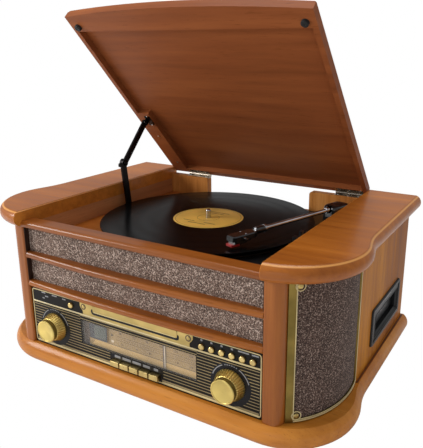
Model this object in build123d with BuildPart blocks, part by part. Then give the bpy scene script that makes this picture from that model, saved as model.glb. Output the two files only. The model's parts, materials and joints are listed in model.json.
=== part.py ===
from build123d import *
from math import asin, atan2, cos, degrees, radians, sin, sqrt
import os

# Stereo music centre in a wooden cabinet: turntable under a hinged lid, radio, disc tray and cassette.
# Frame: millimetres, +X to the right seen from the front, -Y to the front, +Z up, origin on the
# table under the middle of the cabinet. The lid is modelled open, on its folding stay.

os.makedirs("parts", exist_ok=True)

# Cabinet heights
foot_height = 8.0
plinth_thickness = 26.0
wall_height = 167.0
cap_thickness = 20.0
plinth_top = foot_height + plinth_thickness
wall_top = plinth_top + wall_height
cap_top = wall_top + cap_thickness

# Cabinet plan: front corner arc, reverse blend into the straight side, rear edge
corner_x = 172.5
corner_y = -86.5
corner_radius = 82.0
blend_radius = 150.0
side_x = 245.5
rear_y = 177.5
edge_bulge = 7.0
plinth_inset = 3.0
well_half = 177.0
wall_outer = 238.0
wall_thickness = 12.0
wall_front_y = -36.0
inner_wall_thickness = 10.0
running_fit = 0.05
clearance = 0.4

# Front: columns, rails, grille and fascia planes
column_inner = 175.5
column_outer = 198.0
column_front = -164.0
column_inner_radius = 3.0
column_outer_radius = 12.0
front_half = 176.0
rail_front = -165.5
rail_back = -144.5
rail_z = (198.0, 207.0)
rail_nose = 4.4
bead_end = -163.5
bead_bow = 6.0
bead_inset = 0.1
mid_bead_z = (155.5, 164.3)
low_bead_z = (115.5, 124.0)
grille_front = -155.5
grille_back = -143.5
fascia_front = -160.5
fascia_thickness = 3.5
fascia_z = (34.3, 114.4)
fascia_half = 175.1
fascia_back = fascia_front + fascia_thickness

# Curved speaker grilles
grille_x = 169.0
grille_y = -63.5
grille_a = 72.0
grille_b = 98.0
grille_frame_depth = 2.0
grille_cloth_depth = 4.0

# Deck, back panel and turntable
deck_top = 177.25
deck_thickness = 9.0
back_front = 163.5
back_thickness = 12.0
back_top = 209.3
notch_x = (-102.0, 86.0)
record_x = -7.0
record_y = 18.4
record_radius = 150.8
record_top = 190.7
record_thickness = 1.6
record_hole = 3.62
mat_thickness = 1.9
platter_radius = 132.0
platter_height = 6.0
belt_rim_radius = 70.0
shaft_radius = 3.4
spindle_radius = 3.6
spindle_pin_base = 190.9
spindle_top = 203.3
chassis_top = deck_top + 2.5
pulley_distance = 96.0
pulley_angle = 225.0
pulley_radius = 5.0
motor_radius = 14.0
motor_length = 24.0
motor_flange = 1.5
motor_shaft_radius = 1.0
motor_shaft_depth = 20.0
rotor_radius = 11.2
rotor_length = 15.0
rotor_gap = 0.5
rotor_drop = 3.5

# Lid: hinge axis, opening angle, and the frame seen from its underside
hinge_y = 176.0
hinge_z = 211.5
lid_angle = 46.2
hinge_setback = 2.4
lid_half = 175.8
lid_length = 343.6
lid_bow = 8.8
lid_thickness = 12.8
lid_skin = 3.5
lid_side_member = 6.8
lid_rear_member = 9.0
lid_front_member = 25.0
batten_end = 153.6
batten_width = 20.4
bumper_t = 326.6
bumper_x = 163.0
bumper_radius = 4.6
bumper_height = 4.2
hinge_starts = (-147.0, 125.0)
leaf_thickness = 1.4
leaf_housing = 1.5
lid_leaf_width = 8.0
cabinet_leaf_y = (166.5, 177.2)
knuckle_width = 11.0
knuckle_radius = 2.2
hinge_pin_radius = 1.1

# Folding lid stay: foot, knee and lid pivots in the YZ plane
foot_pivot = (32.0, 183.8)
knee_pivot = (23.0, 253.5)
lid_pivot = (74.6, 309.3)
stay_rivet_radius = 2.2
stay_steel = 3.0
tab_steel = 1.6
lower_arm_width = 11.0
upper_arm_width = 9.6
lower_arm_x = -166.6
upper_arm_x = lower_arm_x + stay_steel + clearance

# Tonearm
arm_x = 150.0
arm_y = 112.5
arm_turn = -18.0
arm_z = 205.0
arm_tube_radius = 3.0
arm_length = 203.0
arm_pin_radius = 5.0
selector_slot = (118.0, -112.0)
selector_point = (111.0, -112.0)

# Controls
knob_x = 135.0
knob_z = 65.5
knob_skirt_radius = 19.4
knob_neck_radius = 15.7
knob_cap_radius = 15.0
knob_skirt_length = 10.0
knob_length = 17.6
knob_rim = 2.4
knob_flutes = 36
knob_flute_radius = 0.85
knob_dish = 1.2
button_radius = 3.9
button_pitch = 13.1
first_button_x = 98.3
button_z = 102.2
power_button = (-102.7, 104.5)
key_pitch = 15.2
key_width = 13.2
key_reach = 6.5
key_tail = -152.0
key_edge = 0.9
first_key_x = -29.2
key_count = 5
key_z = (40.4, 47.6)
key_slot_x = (-36.3, 38.7)
window_x = (-87.0, 90.0)
window_z = (55.3, 88.0)
tray_half = 65.0
tray_z = (104.0, 112.8)
tray_back = 4.0
disc_radius = 60.5
disc_y = -95.0
pointer_x = 41.9

# Cassette bezel on the right-hand wall
bezel_y = (15.0, 144.5)
bezel_z = (54.0, 105.5)
bezel_height = 2.6
bezel_step = 5.0
bezel_collar = 6.2
slot_y = (33.0, 135.0)
slot_z = (64.0, 91.0)
deck_box_y = (28.0, 140.0)
deck_box_z = (54.0, 98.0)


def save(piece, name):
    piece.part.label = name
    export_step(piece.part, f"parts/{name}.step")


def column_edge(side):
    # plan of one column: flat inner face, full round outer front
    inner = side * column_inner
    outer = side * column_outer
    Line((inner, grille_back), (inner, column_front + column_inner_radius))
    ThreePointArc(
        (inner, column_front + column_inner_radius),
        (inner + side * column_inner_radius * 0.293, column_front + column_inner_radius * 0.293),
        (inner + side * column_inner_radius, column_front),
    )
    Line((inner + side * column_inner_radius, column_front), (outer - side * column_outer_radius, column_front))
    ThreePointArc(
        (outer - side * column_outer_radius, column_front),
        (outer - side * column_outer_radius * 0.293, column_front + column_outer_radius * 0.293),
        (outer, column_front + column_outer_radius),
    )
    Polyline((outer, column_front + column_outer_radius), (outer, grille_back), (inner, grille_back))


def middle(span):
    return (span[0] + span[1]) / 2


def length(span):
    return span[1] - span[0]


# ---------------------------------------------------------------- cabinet shell


def side_edge(inset):
    # right-hand edge in plan, from the front tangent point round to the rear
    blend_x = side_x + blend_radius
    rise = sqrt((corner_radius + blend_radius) ** 2 - (blend_x - corner_x) ** 2)
    blend_y = corner_y + rise
    turn = degrees(atan2(rise, blend_x - corner_x))
    CenterArc((corner_x, corner_y), corner_radius - inset, -90, 90 + turn)
    CenterArc((blend_x, blend_y), blend_radius + inset, 180 + turn, -turn)
    Line((side_x - inset, blend_y), (side_x - inset, rear_y))


def bullnose_plane(start_x, inset, height):
    # profile plane where the edge run starts: local X points out of the cabinet
    front = corner_y - corner_radius + inset
    return Plane(origin=(start_x, front, height), x_dir=(0, -1, 0), z_dir=(1, 0, 0))


def bullnose_profile(thickness):
    half = thickness / 2
    overlap = 2.0
    ThreePointArc((0, -half), (edge_bulge, 0), (0, half))
    Polyline((0, half), (-overlap, half), (-overlap, -half), (0, -half))


plinth_front = corner_y - corner_radius + plinth_inset

with BuildPart() as base_plinth:
    with BuildSketch(Plane.XY.offset(foot_height)):
        with BuildLine():
            side_edge(plinth_inset)
            Line((0, plinth_front), (corner_x, plinth_front))
            Line((0, plinth_front), (0, rear_y))
            Line((0, rear_y), (side_x - plinth_inset, rear_y))
        make_face()
    extrude(amount=plinth_thickness)
    with BuildLine(Plane.XY.offset(foot_height + plinth_thickness / 2)) as plinth_edge:
        Line((0, plinth_front), (corner_x, plinth_front))
        side_edge(plinth_inset)
    with BuildSketch(bullnose_plane(0, plinth_inset, foot_height + plinth_thickness / 2)):
        with BuildLine():
            bullnose_profile(plinth_thickness)
        make_face()
    sweep(path=plinth_edge.wires()[0])
    mirror(about=Plane.YZ)
    # lightening pocket under the board and vent slots through it
    with BuildSketch(Plane.XY.offset(foot_height)):
        with Locations((0, 10)):
            RectangleRounded(400, 270, 12)
    extrude(amount=plinth_thickness - 10, mode=Mode.SUBTRACT)
    with BuildSketch(Plane.XY.offset(foot_height)):
        with GridLocations(14, 60, 12, 2):
            SlotOverall(44, 5, rotation=90)
    extrude(amount=plinth_thickness, mode=Mode.SUBTRACT)
save(base_plinth, "base_plinth")

with BuildPart() as rubber_feet:
    with BuildSketch():
        with GridLocations(430, 260, 2, 2):
            Circle(11)
    extrude(amount=foot_height, taper=-8)
    with BuildSketch():
        with GridLocations(430, 260, 2, 2):
            Circle(4)
    extrude(amount=3, mode=Mode.SUBTRACT)
save(rubber_feet, "rubber_feet")

with BuildPart() as shoulder_caps:
    with BuildSketch(Plane.XY.offset(wall_top)):
        with BuildLine():
            side_edge(0)
            Line((corner_x, corner_y - corner_radius), (corner_x, rear_y))
            Line((corner_x, rear_y), (side_x, rear_y))
        make_face()
    extrude(amount=cap_thickness)
    with BuildLine(Plane.XY.offset(wall_top + cap_thickness / 2)) as cap_edge:
        side_edge(0)
    with BuildSketch(bullnose_plane(corner_x, 0, wall_top + cap_thickness / 2)):
        with BuildLine():
            bullnose_profile(cap_thickness)
        make_face()
    sweep(path=cap_edge.wires()[0])
    split(bisect_by=Plane.YZ.offset(well_half))
    mirror(about=Plane.YZ)
save(shoulder_caps, "shoulder_caps")

with BuildPart() as side_walls:
    with BuildSketch(Plane.YZ.offset(wall_outer - wall_thickness)):
        with Locations(((wall_front_y + back_front + back_thickness) / 2, (plinth_top + wall_top) / 2)):
            Rectangle(back_front + back_thickness - wall_front_y, wall_height)
    extrude(amount=wall_thickness)
    mirror(about=Plane.YZ)
    with BuildSketch(Plane.YZ.offset(wall_outer - wall_thickness)):
        with Locations((middle(bezel_y), middle(bezel_z))):
            RectangleRounded(
                length(bezel_y) - 2 * bezel_collar + 0.4, length(bezel_z) - 2 * bezel_collar + 0.4, 3
            )
    extrude(amount=wall_thickness, mode=Mode.SUBTRACT)
save(side_walls, "side_walls")

cable_hole = (-100.0, 50.0)

with BuildPart() as inner_walls:
    with BuildSketch(Plane.YZ.offset(well_half)):
        with Locations(((grille_back + back_front) / 2, (plinth_top + wall_top) / 2)):
            Rectangle(back_front - grille_back, wall_height)
    extrude(amount=inner_wall_thickness)
    mirror(about=Plane.YZ)
    # the cassette deck reaches through the right-hand wall only
    with BuildSketch(Plane.YZ.offset(well_half)):
        with Locations((middle(deck_box_y), middle(deck_box_z))):
            RectangleRounded(length(deck_box_y) + 2, length(deck_box_z) + 2, 3)
    extrude(amount=inner_wall_thickness, mode=Mode.SUBTRACT)
    # cable holes to the speakers, low down in both walls
    with BuildSketch(Plane.YZ.offset(-well_half - inner_wall_thickness)):
        with Locations(cable_hole):
            Circle(6)
    extrude(amount=2 * (well_half + inner_wall_thickness), mode=Mode.SUBTRACT)
save(inner_walls, "inner_walls")


def bead_edge():
    # plan of a bead: bowed front, straight back against the cloth
    ThreePointArc((-front_half, bead_end), (0, bead_end - bead_bow), (front_half, bead_end))
    Line((front_half, bead_end), (front_half, grille_front))
    Line((front_half, grille_front), (-front_half, grille_front))
    Line((-front_half, grille_front), (-front_half, bead_end))


with BuildPart() as front_beads:
    for span in (mid_bead_z, low_bead_z):
        with BuildSketch(Plane.XY.offset(span[0])):
            with BuildLine():
                bead_edge()
            make_face()
        extrude(amount=length(span))
    bowed_edges = front_beads.edges().filter_by(GeomType.CIRCLE)
    fillet(bowed_edges, radius=length(low_bead_z) / 2 - bead_inset)

with BuildPart() as front_frame:
    # rail under the front edge of the lid
    with BuildSketch(Plane.YZ.offset(-well_half)):
        with Locations((middle((rail_front, rail_back)), middle(rail_z))):
            Rectangle(rail_back - rail_front, length(rail_z))
    extrude(amount=2 * well_half)
    fillet(front_frame.edges().filter_by(Axis.X).group_by(Axis.Y)[0], radius=rail_nose)
    # bowed half-round beads, each with a tongue between the grille boards
    add(front_beads.part)
    for low, high in (mid_bead_z, (fascia_z[1], low_bead_z[1])):
        with BuildSketch(Plane.YZ.offset(-front_half)):
            with Locations((middle((grille_front, grille_back)), middle((low, high)))):
                Rectangle(grille_back - grille_front, high - low)
        extrude(amount=2 * front_half)
    # corner columns, rounded to the front and flat where they meet the walls
    for side in (-1, 1):
        with BuildSketch(Plane.XY.offset(plinth_top)):
            with BuildLine():
                column_edge(side)
            make_face()
        extrude(amount=wall_height)
save(front_frame, "front_frame")

with BuildPart() as front_grille_panels:
    for low, high in ((mid_bead_z[1], rail_z[0]), (low_bead_z[1], mid_bead_z[0])):
        with BuildSketch(Plane.XY.offset(low)):
            with Locations((0, (grille_front + grille_back) / 2)):
                Rectangle(2 * (column_inner - 0.2), grille_back - grille_front)
        extrude(amount=high - low)
save(front_grille_panels, "front_grille_panels")


# ---------------------------------------------------------------- curved speaker corners


def grille_band(outer, inner, start, end):
    # band between two ellipses, offset inwards from the face of the grille
    centre = (grille_x, grille_y)

    def point(offset, angle):
        turn = radians(angle)
        return grille_x + (grille_a - offset) * cos(turn), grille_y + (grille_b - offset) * sin(turn)

    EllipticalCenterArc(centre, grille_a - outer, grille_b - outer, start, arc_size=end - start)
    Line(point(outer, end), point(inner, end))
    EllipticalCenterArc(centre, grille_a - inner, grille_b - inner, start, arc_size=end - start)
    Line(point(inner, start), point(outer, start))


def ellipse_angle(x, offset=0.0):
    ratio = (x - grille_x) / (grille_a - offset)
    return -degrees(atan2(sqrt(1 - ratio**2), ratio))


grille_start = ellipse_angle(column_outer + 0.2, grille_frame_depth)
cloth_start = ellipse_angle(column_outer + 0.2, grille_frame_depth + grille_cloth_depth)
grille_end = degrees(asin((wall_front_y - grille_y) / grille_b))
grille_margin = 0.8
bar_angle = ellipse_angle(206.0)
lobe_angle = ellipse_angle(205.0)
frame_border = 3.6
lobe_radius = 7.0

with BuildPart() as grille_opening:
    with BuildSketch(Plane.XY.offset(plinth_top + grille_margin + frame_border)):
        with BuildLine():
            grille_band(-3, grille_frame_depth + 3, bar_angle, grille_end - 2.2)
        make_face()
    extrude(amount=wall_height - 2 * (grille_margin + frame_border))
    for lobe_z in (plinth_top + grille_margin + frame_border, wall_top - grille_margin - frame_border):
        turn = radians(lobe_angle)
        lobe_point = (grille_x + grille_a * cos(turn), grille_y + grille_b * sin(turn), lobe_z)
        with BuildSketch(Plane(origin=lobe_point, x_dir=(0, 0, 1), z_dir=(0.28, -0.96, 0))):
            Circle(lobe_radius)
        extrude(amount=8, both=True, mode=Mode.SUBTRACT)

with BuildPart() as grille_frames:
    with BuildSketch(Plane.XY.offset(plinth_top + grille_margin)):
        with BuildLine():
            grille_band(0, grille_frame_depth, grille_start, grille_end)
        make_face()
    extrude(amount=wall_height - 2 * grille_margin)
    add(grille_opening.part, mode=Mode.SUBTRACT)
    mirror(about=Plane.YZ)
save(grille_frames, "grille_frames")

with BuildPart() as grille_cloths:
    with BuildSketch(Plane.XY.offset(plinth_top)):
        with BuildLine():
            grille_band(grille_frame_depth, grille_frame_depth + grille_cloth_depth, cloth_start, grille_end)
        make_face()
    extrude(amount=wall_height)
    mirror(about=Plane.YZ)
save(grille_cloths, "grille_cloths")

driver_plane = Plane(origin=(214, -97, (plinth_top + wall_top) / 2), x_dir=(0, 0, 1), z_dir=(0.94, -0.342, 0))
driver_radius = 33.0

with BuildPart() as speaker_boards:
    with BuildSketch(driver_plane):
        Rectangle(wall_height, 84)
        Circle(driver_radius - 4, mode=Mode.SUBTRACT)
    extrude(amount=-5)
    mirror(about=Plane.YZ)
save(speaker_boards, "speaker_boards")

with BuildPart() as speaker_drivers:
    with BuildSketch(driver_plane):
        Circle(driver_radius)
        Circle(driver_radius - 7, mode=Mode.SUBTRACT)
    extrude(amount=2)
    with BuildSketch(driver_plane.offset(0.5)):
        Circle(driver_radius - 5)
    extrude(amount=-14, taper=38)
    with BuildSketch(driver_plane.offset(2)):
        Circle(driver_radius - 7)
    extrude(amount=-12, taper=45, mode=Mode.SUBTRACT)
    with BuildSketch(driver_plane.offset(-12)):
        Circle(13)
    extrude(amount=-10)
    mirror(about=Plane.YZ)
save(speaker_drivers, "speaker_drivers")


# ---------------------------------------------------------------- deck, back panel and inner parts

deck_opening = (-100.0, 120.0, -100.0, 126.0)

with BuildPart() as deck_board:
    with BuildSketch(Plane.XY.offset(deck_top - deck_thickness)):
        with Locations((0, (grille_back + back_front) / 2)):
            Rectangle(2 * well_half, back_front - grille_back)
        with Locations(((deck_opening[0] + deck_opening[1]) / 2, (deck_opening[2] + deck_opening[3]) / 2)):
            RectangleRounded(
                deck_opening[1] - deck_opening[0],
                deck_opening[3] - deck_opening[2],
                8,
                mode=Mode.SUBTRACT,
            )
        with Locations((arm_x, arm_y)):
            Circle(arm_pin_radius + 3, mode=Mode.SUBTRACT)
        with Locations(selector_slot):
            RectangleRounded(30, 14, 3, mode=Mode.SUBTRACT)
    extrude(amount=deck_thickness)
save(deck_board, "deck_board")

chassis_x = (-112.0, 176.4)
chassis_y = (-140.0, 163.0)
pulley_x = record_x + pulley_distance * cos(radians(pulley_angle))
pulley_y = record_y + pulley_distance * sin(radians(pulley_angle))
arm_rest_point = (arm_x, -26.5)

with BuildPart() as turntable_chassis:
    with BuildSketch(Plane.XY.offset(deck_top)):
        with Locations((middle(chassis_x), middle(chassis_y))):
            RectangleRounded(length(chassis_x), length(chassis_y), 6)
    extrude(amount=chassis_top - deck_top)
    chamfer(turntable_chassis.faces().sort_by(Axis.Z)[-1].edges(), length=1.2)
    # bearing tube of the spindle
    with BuildSketch(Plane.XY.offset(deck_top - 20)):
        with Locations((record_x, record_y)):
            Circle(9)
    extrude(amount=chassis_top - deck_top + 20 + 1)
    # turret that carries the tonearm, and its bore
    with BuildSketch(Plane.XY.offset(deck_top)):
        with Locations((arm_x, arm_y)):
            Circle(16)
    extrude(amount=9, taper=5)
    # arm rest post with an outer stop
    with BuildSketch(Plane.XY.offset(deck_top)):
        with Locations(arm_rest_point):
            RectangleRounded(9, 7, 1.5)
        with Locations((arm_rest_point[0] + 6.2, arm_rest_point[1])):
            RectangleRounded(4, 7, 1)
    extrude(amount=arm_z - arm_tube_radius - 0.5 - deck_top)
    with BuildSketch(Plane.XY.offset(deck_top)):
        with Locations((arm_rest_point[0] + 6.2, arm_rest_point[1])):
            RectangleRounded(4, 7, 1)
    extrude(amount=arm_z + 5 - deck_top)
    with Locations((record_x, record_y, chassis_top + 1)):
        Hole(shaft_radius + running_fit)
    with Locations((arm_x, arm_y, deck_top + 9)):
        Hole(arm_pin_radius + running_fit)
    with Locations((pulley_x, pulley_y, chassis_top)):
        Hole(3)
    with BuildSketch(Plane.XY.offset(deck_top)):
        with Locations(selector_slot):
            SlotOverall(22, 4.6)
    extrude(amount=chassis_top - deck_top, mode=Mode.SUBTRACT)
save(turntable_chassis, "turntable_chassis")

terminal_centre = (-40.0, 80.0)
terminal_size = (112.0, 44.0)

with BuildPart() as back_panel:
    with BuildSketch(Plane.XZ.offset(-back_front)):
        with Locations((0, (plinth_top + wall_top) / 2)):
            Rectangle(2 * (wall_outer - wall_thickness), wall_height)
        for span in ((-well_half, notch_x[0]), (notch_x[1], well_half)):
            with Locations((middle(span), (wall_top + back_top) / 2)):
                Rectangle(length(span), back_top - wall_top)
        with Locations((middle(notch_x), (deck_top + wall_top) / 2)):
            Rectangle(length(notch_x), wall_top - deck_top + 0.01, mode=Mode.SUBTRACT)
        with Locations(terminal_centre):
            RectangleRounded(*terminal_size, 3, mode=Mode.SUBTRACT)
        with Locations((110, 95)):
            with GridLocations(9, 46, 10, 2):
                SlotOverall(36, 4, rotation=90, mode=Mode.SUBTRACT)
    extrude(amount=-back_thickness)
    notch_corners = back_panel.edges().filter_by(Axis.Y).group_by(Axis.Z)[-1]
    fillet(notch_corners.sort_by(Axis.X)[1:3], radius=4)
    # shallow housings for the hinge leaves
    for start in hinge_starts:
        with BuildSketch(Plane.XY.offset(back_top - leaf_housing)):
            with Locations((start + 2 * knuckle_width, middle(cabinet_leaf_y))):
                Rectangle(4 * knuckle_width, length(cabinet_leaf_y))
        extrude(amount=leaf_housing, mode=Mode.SUBTRACT)
save(back_panel, "back_panel")

with BuildPart() as rear_terminals:
    plate_y = back_front + 4
    with BuildSketch(Plane.XZ.offset(-plate_y)):
        with Locations(terminal_centre):
            RectangleRounded(*terminal_size, 3)
        with Locations((terminal_centre[0] + 36, terminal_centre[1])):
            SlotOverall(20, 10, mode=Mode.SUBTRACT)
    extrude(amount=-2)
    # four phono jacks in two pairs
    with BuildSketch(Plane.XZ.offset(-plate_y - 2)):
        with Locations((terminal_centre[0] - 24, terminal_centre[1])):
            with GridLocations(18, 18, 2, 2):
                Circle(4.2)
                Circle(3.2, mode=Mode.SUBTRACT)
    extrude(amount=-7.5)
    with BuildSketch(Plane.XZ.offset(-plate_y - 2)):
        with Locations((terminal_centre[0] - 24, terminal_centre[1])):
            with GridLocations(18, 18, 2, 2):
                Circle(6)
                Circle(4.2, mode=Mode.SUBTRACT)
    extrude(amount=-1.5)
    # two-pin mains inlet: a shrouded cup behind the slot, with its pins
    inlet_x = terminal_centre[0] + 36
    with BuildSketch(Plane.XZ.offset(-plate_y + 14)):
        with Locations((inlet_x, terminal_centre[1])):
            RectangleRounded(26, 15, 3)
    extrude(amount=-14)
    with BuildSketch(Plane.XZ.offset(-plate_y + 12)):
        with Locations((inlet_x, terminal_centre[1])):
            SlotOverall(20, 10)
    extrude(amount=-14, mode=Mode.SUBTRACT)
    with BuildSketch(Plane.XZ.offset(-plate_y + 12)):
        with Locations((inlet_x, terminal_centre[1])):
            with GridLocations(8.6, 1, 2, 1):
                Circle(1.2)
    extrude(amount=-9)
save(rear_terminals, "rear_terminals")

transformer_x = -110.0
transformer_y = (74.0, 106.0)
core_size = (52.0, 44.0)
core_z = plinth_top + 3 + core_size[1] / 2
coil_size = (36.5, 25.5)

with BuildPart() as transformer:
    with BuildSketch(Plane.XY.offset(plinth_top)):
        with Locations((transformer_x, middle(transformer_y))):
            Rectangle(core_size[0] + 14, length(transformer_y) + 8)
    extrude(amount=3)
    with BuildSketch(Plane.XZ.offset(-transformer_y[0])):
        with Locations((transformer_x, core_z)):
            Rectangle(*core_size)
            with GridLocations(28, 1, 2, 1):
                Rectangle(9, 26, mode=Mode.SUBTRACT)
    extrude(amount=-length(transformer_y))
    # winding round the middle limb
    with BuildSketch(Plane.XZ.offset(-transformer_y[0] + 8)):
        with Locations((transformer_x, core_z)):
            RectangleRounded(*coil_size, 4)
            Rectangle(19.02, 26.2, mode=Mode.SUBTRACT)
    extrude(amount=-length(transformer_y) - 16)
save(transformer, "transformer")

pot_radius = 8.0
pot_length = 6.5
switch_length = 6.8
pot_shaft_radius = 3.0
board_front = -146.0
shaft_end = board_front - 0.5

with BuildPart() as main_board:
    with BuildSketch(Plane.XZ.offset(-board_front)):
        with Locations((0, 66)):
            Rectangle(320, 52)
        with Locations((power_button[0], 100)):
            Rectangle(24, 20)
        with Locations((first_button_x + 2.5 * button_pitch, 100)):
            Rectangle(5 * button_pitch + 14, 20)
    extrude(amount=-1.6)
    with BuildSketch(Plane.XZ.offset(-board_front)):
        with Locations(power_button):
            Rectangle(7, 7)
        with Locations((first_button_x + 2.5 * button_pitch, button_z)):
            with GridLocations(button_pitch, 1, 6, 1):
                Rectangle(7, 7)
    extrude(amount=switch_length)
    with BuildSketch(Plane.XZ.offset(-board_front)):
        with Locations((-knob_x, knob_z), (knob_x, knob_z)):
            Circle(pot_radius)
            Circle(pot_shaft_radius + running_fit, mode=Mode.SUBTRACT)
    extrude(amount=pot_length)
    # key switches, amplifier chip with its heat sink, and capacitors on the rear side
    with BuildSketch(Plane.XZ.offset(-board_front)):
        with Locations((first_key_x + key_pitch * (key_count - 1) / 2, 44)):
            with GridLocations(key_pitch, 1, key_count, 1):
                Rectangle(9, 7)
    extrude(amount=3)
    with BuildSketch(Plane.XZ.offset(-board_front - 1.6)):
        with Locations((-110, 62)):
            with GridLocations(7, 1, 6, 1):
                Rectangle(2, 36)
        with Locations((-110, 45)):
            Rectangle(38, 3)
    extrude(amount=-18)
    with BuildSketch(Plane.XZ.offset(-board_front - 1.6)):
        with Locations((60, 66)):
            with GridLocations(22, 22, 3, 2):
                Circle(5.5)
    extrude(amount=-12)
    # standing edge that seats in the plinth
    with BuildSketch(Plane.XZ.offset(-board_front)):
        with GridLocations(260, 1, 2, 1):
            with Locations((0, (plinth_top + 40) / 2)):
                Rectangle(16, 40 - plinth_top)
    extrude(amount=-1.6)
save(main_board, "main_board")

mechanism_length = 160.0
mechanism_y = -62.0
mechanism_z = 94.0
guide_x = 69.5
post_radius = 5.0

with BuildPart() as cd_mechanism:
    with BuildSketch(Plane.XY.offset(mechanism_z)):
        with Locations((0, mechanism_y)):
            RectangleRounded(2 * guide_x + 7, mechanism_length, 4)
            RectangleRounded(50, 100, 6, mode=Mode.SUBTRACT)
    extrude(amount=3)
    # guide rails either side of the tray
    for side in (-1, 1):
        with BuildSketch(Plane.XZ.offset(mechanism_length / 2 - mechanism_y)):
            with Locations((side * guide_x, mechanism_z + 11)):
                Rectangle(7, 22)
            for shelf_z in (mechanism_z + 8, mechanism_z + 19.2):
                with Locations((side * (guide_x - 5.5), shelf_z)):
                    Rectangle(6, 4)
        extrude(amount=-mechanism_length)
    # posts down to the plinth
    with BuildSketch(Plane.XY.offset(plinth_top)):
        with Locations((0, mechanism_y)):
            with GridLocations(134, mechanism_length - 36, 2, 2):
                Circle(post_radius)
    extrude(amount=mechanism_z - plinth_top)
    # spindle motor and laser sled rails
    with BuildSketch(Plane.XY.offset(mechanism_z - 6)):
        with Locations((0, mechanism_y)):
            with GridLocations(1, 104, 1, 2):
                Rectangle(58, 12)
            with GridLocations(32, 1, 2, 1):
                Rectangle(4, 104)
        with Locations((0, disc_y)):
            Rectangle(36, 22)
    extrude(amount=6)
    with BuildSketch(Plane.XY.offset(mechanism_z)):
        with Locations((0, disc_y)):
            Circle(11)
    extrude(amount=6)
save(cd_mechanism, "cd_mechanism")

rotor_top = deck_top - motor_flange - rotor_drop

with BuildPart() as turntable_motor:
    with BuildSketch(Plane.XY.offset(deck_top)):
        with Locations((pulley_x, pulley_y)):
            RectangleRounded(44, 30, 4)
            Circle(1.6, mode=Mode.SUBTRACT)
    extrude(amount=-motor_flange)
    with BuildSketch(Plane.XY.offset(deck_top - motor_flange)):
        with Locations((pulley_x, pulley_y)):
            Circle(motor_radius)
    extrude(amount=-motor_length)
    fillet(turntable_motor.faces().sort_by(Axis.Z)[0].edges(), radius=2)
    # the rotor turns in a chamber round the shaft's bore
    with BuildSketch(Plane.XY.offset(rotor_top + rotor_gap)):
        with Locations((pulley_x, pulley_y)):
            Circle(rotor_radius + rotor_gap)
    extrude(amount=-(rotor_length + 2 * rotor_gap), mode=Mode.SUBTRACT)
    with Locations((pulley_x, pulley_y, deck_top - motor_flange)):
        Hole(motor_shaft_radius + running_fit, depth=motor_shaft_depth)
save(turntable_motor, "turntable_motor")

belt_z = chassis_top + 2.2
belt_height = 1.8

with BuildPart() as drive_belt:
    with BuildSketch(Plane.XY.offset(belt_z)):
        for grow, mode in ((1.1, Mode.ADD), (0.3, Mode.SUBTRACT)):
            with BuildSketch(mode=Mode.PRIVATE) as loop:
                with Locations((record_x, record_y)):
                    Circle(belt_rim_radius + grow)
                with Locations((pulley_x, pulley_y)):
                    Circle(pulley_radius + grow)
                make_hull()
            add(loop.sketch, mode=mode)
    extrude(amount=belt_height)
save(drive_belt, "drive_belt")


# ---------------------------------------------------------------- fascia and dial

with BuildPart() as control_fascia:
    with BuildSketch(Plane.XZ.offset(-fascia_back)):
        with Locations((0, middle(fascia_z))):
            RectangleRounded(2 * fascia_half, length(fascia_z), 3)
        with Locations((middle(window_x), middle(window_z))):
            Rectangle(length(window_x) + 0.2, length(window_z) + 0.2, mode=Mode.SUBTRACT)
        with Locations((0, middle(tray_z))):
            RectangleRounded(2 * tray_half + 0.8, length(tray_z) + 0.8, 2.4, mode=Mode.SUBTRACT)
        with Locations((middle(key_slot_x), middle(key_z))):
            Rectangle(length(key_slot_x), length(key_z) + 0.8, mode=Mode.SUBTRACT)
        with Locations((-knob_x, knob_z), (knob_x, knob_z)):
            Circle(4, mode=Mode.SUBTRACT)
        with Locations(power_button):
            Circle(button_radius + 0.35, mode=Mode.SUBTRACT)
        for index in range(6):
            with Locations((first_button_x + index * button_pitch, button_z)):
                Circle(button_radius + 0.35, mode=Mode.SUBTRACT)
    extrude(amount=fascia_thickness)
    # wrap-round edges that seat on the columns and the low rail
    with BuildSketch(Plane.XZ.offset(-fascia_back)):
        with Locations((0, middle(fascia_z))):
            RectangleRounded(2 * fascia_half, length(fascia_z), 3)
            Rectangle(2 * fascia_half - 5, length(fascia_z) - 3, mode=Mode.SUBTRACT)
    extrude(amount=-10)
save(control_fascia, "control_fascia")

window_front = fascia_front + 0.3
window_thickness = 1.2

with BuildPart() as dial_window:
    with BuildSketch(Plane.XZ.offset(-window_front)):
        with Locations((middle(window_x), middle(window_z))):
            Rectangle(length(window_x), length(window_z))
    extrude(amount=-window_thickness)
save(dial_window, "dial_window")

scale_front = -155.6
scale_thickness = 1.5
display_centre = (-61.2, 75.2)
display_size = (30.0, 20.6)
pointer_rail = 1.1
hook_z = window_z[1] + 2 + pointer_rail + 0.3
pointer_front = scale_front - 1.0
pointer_plate = 0.7
pointer_width = 3.6

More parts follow.
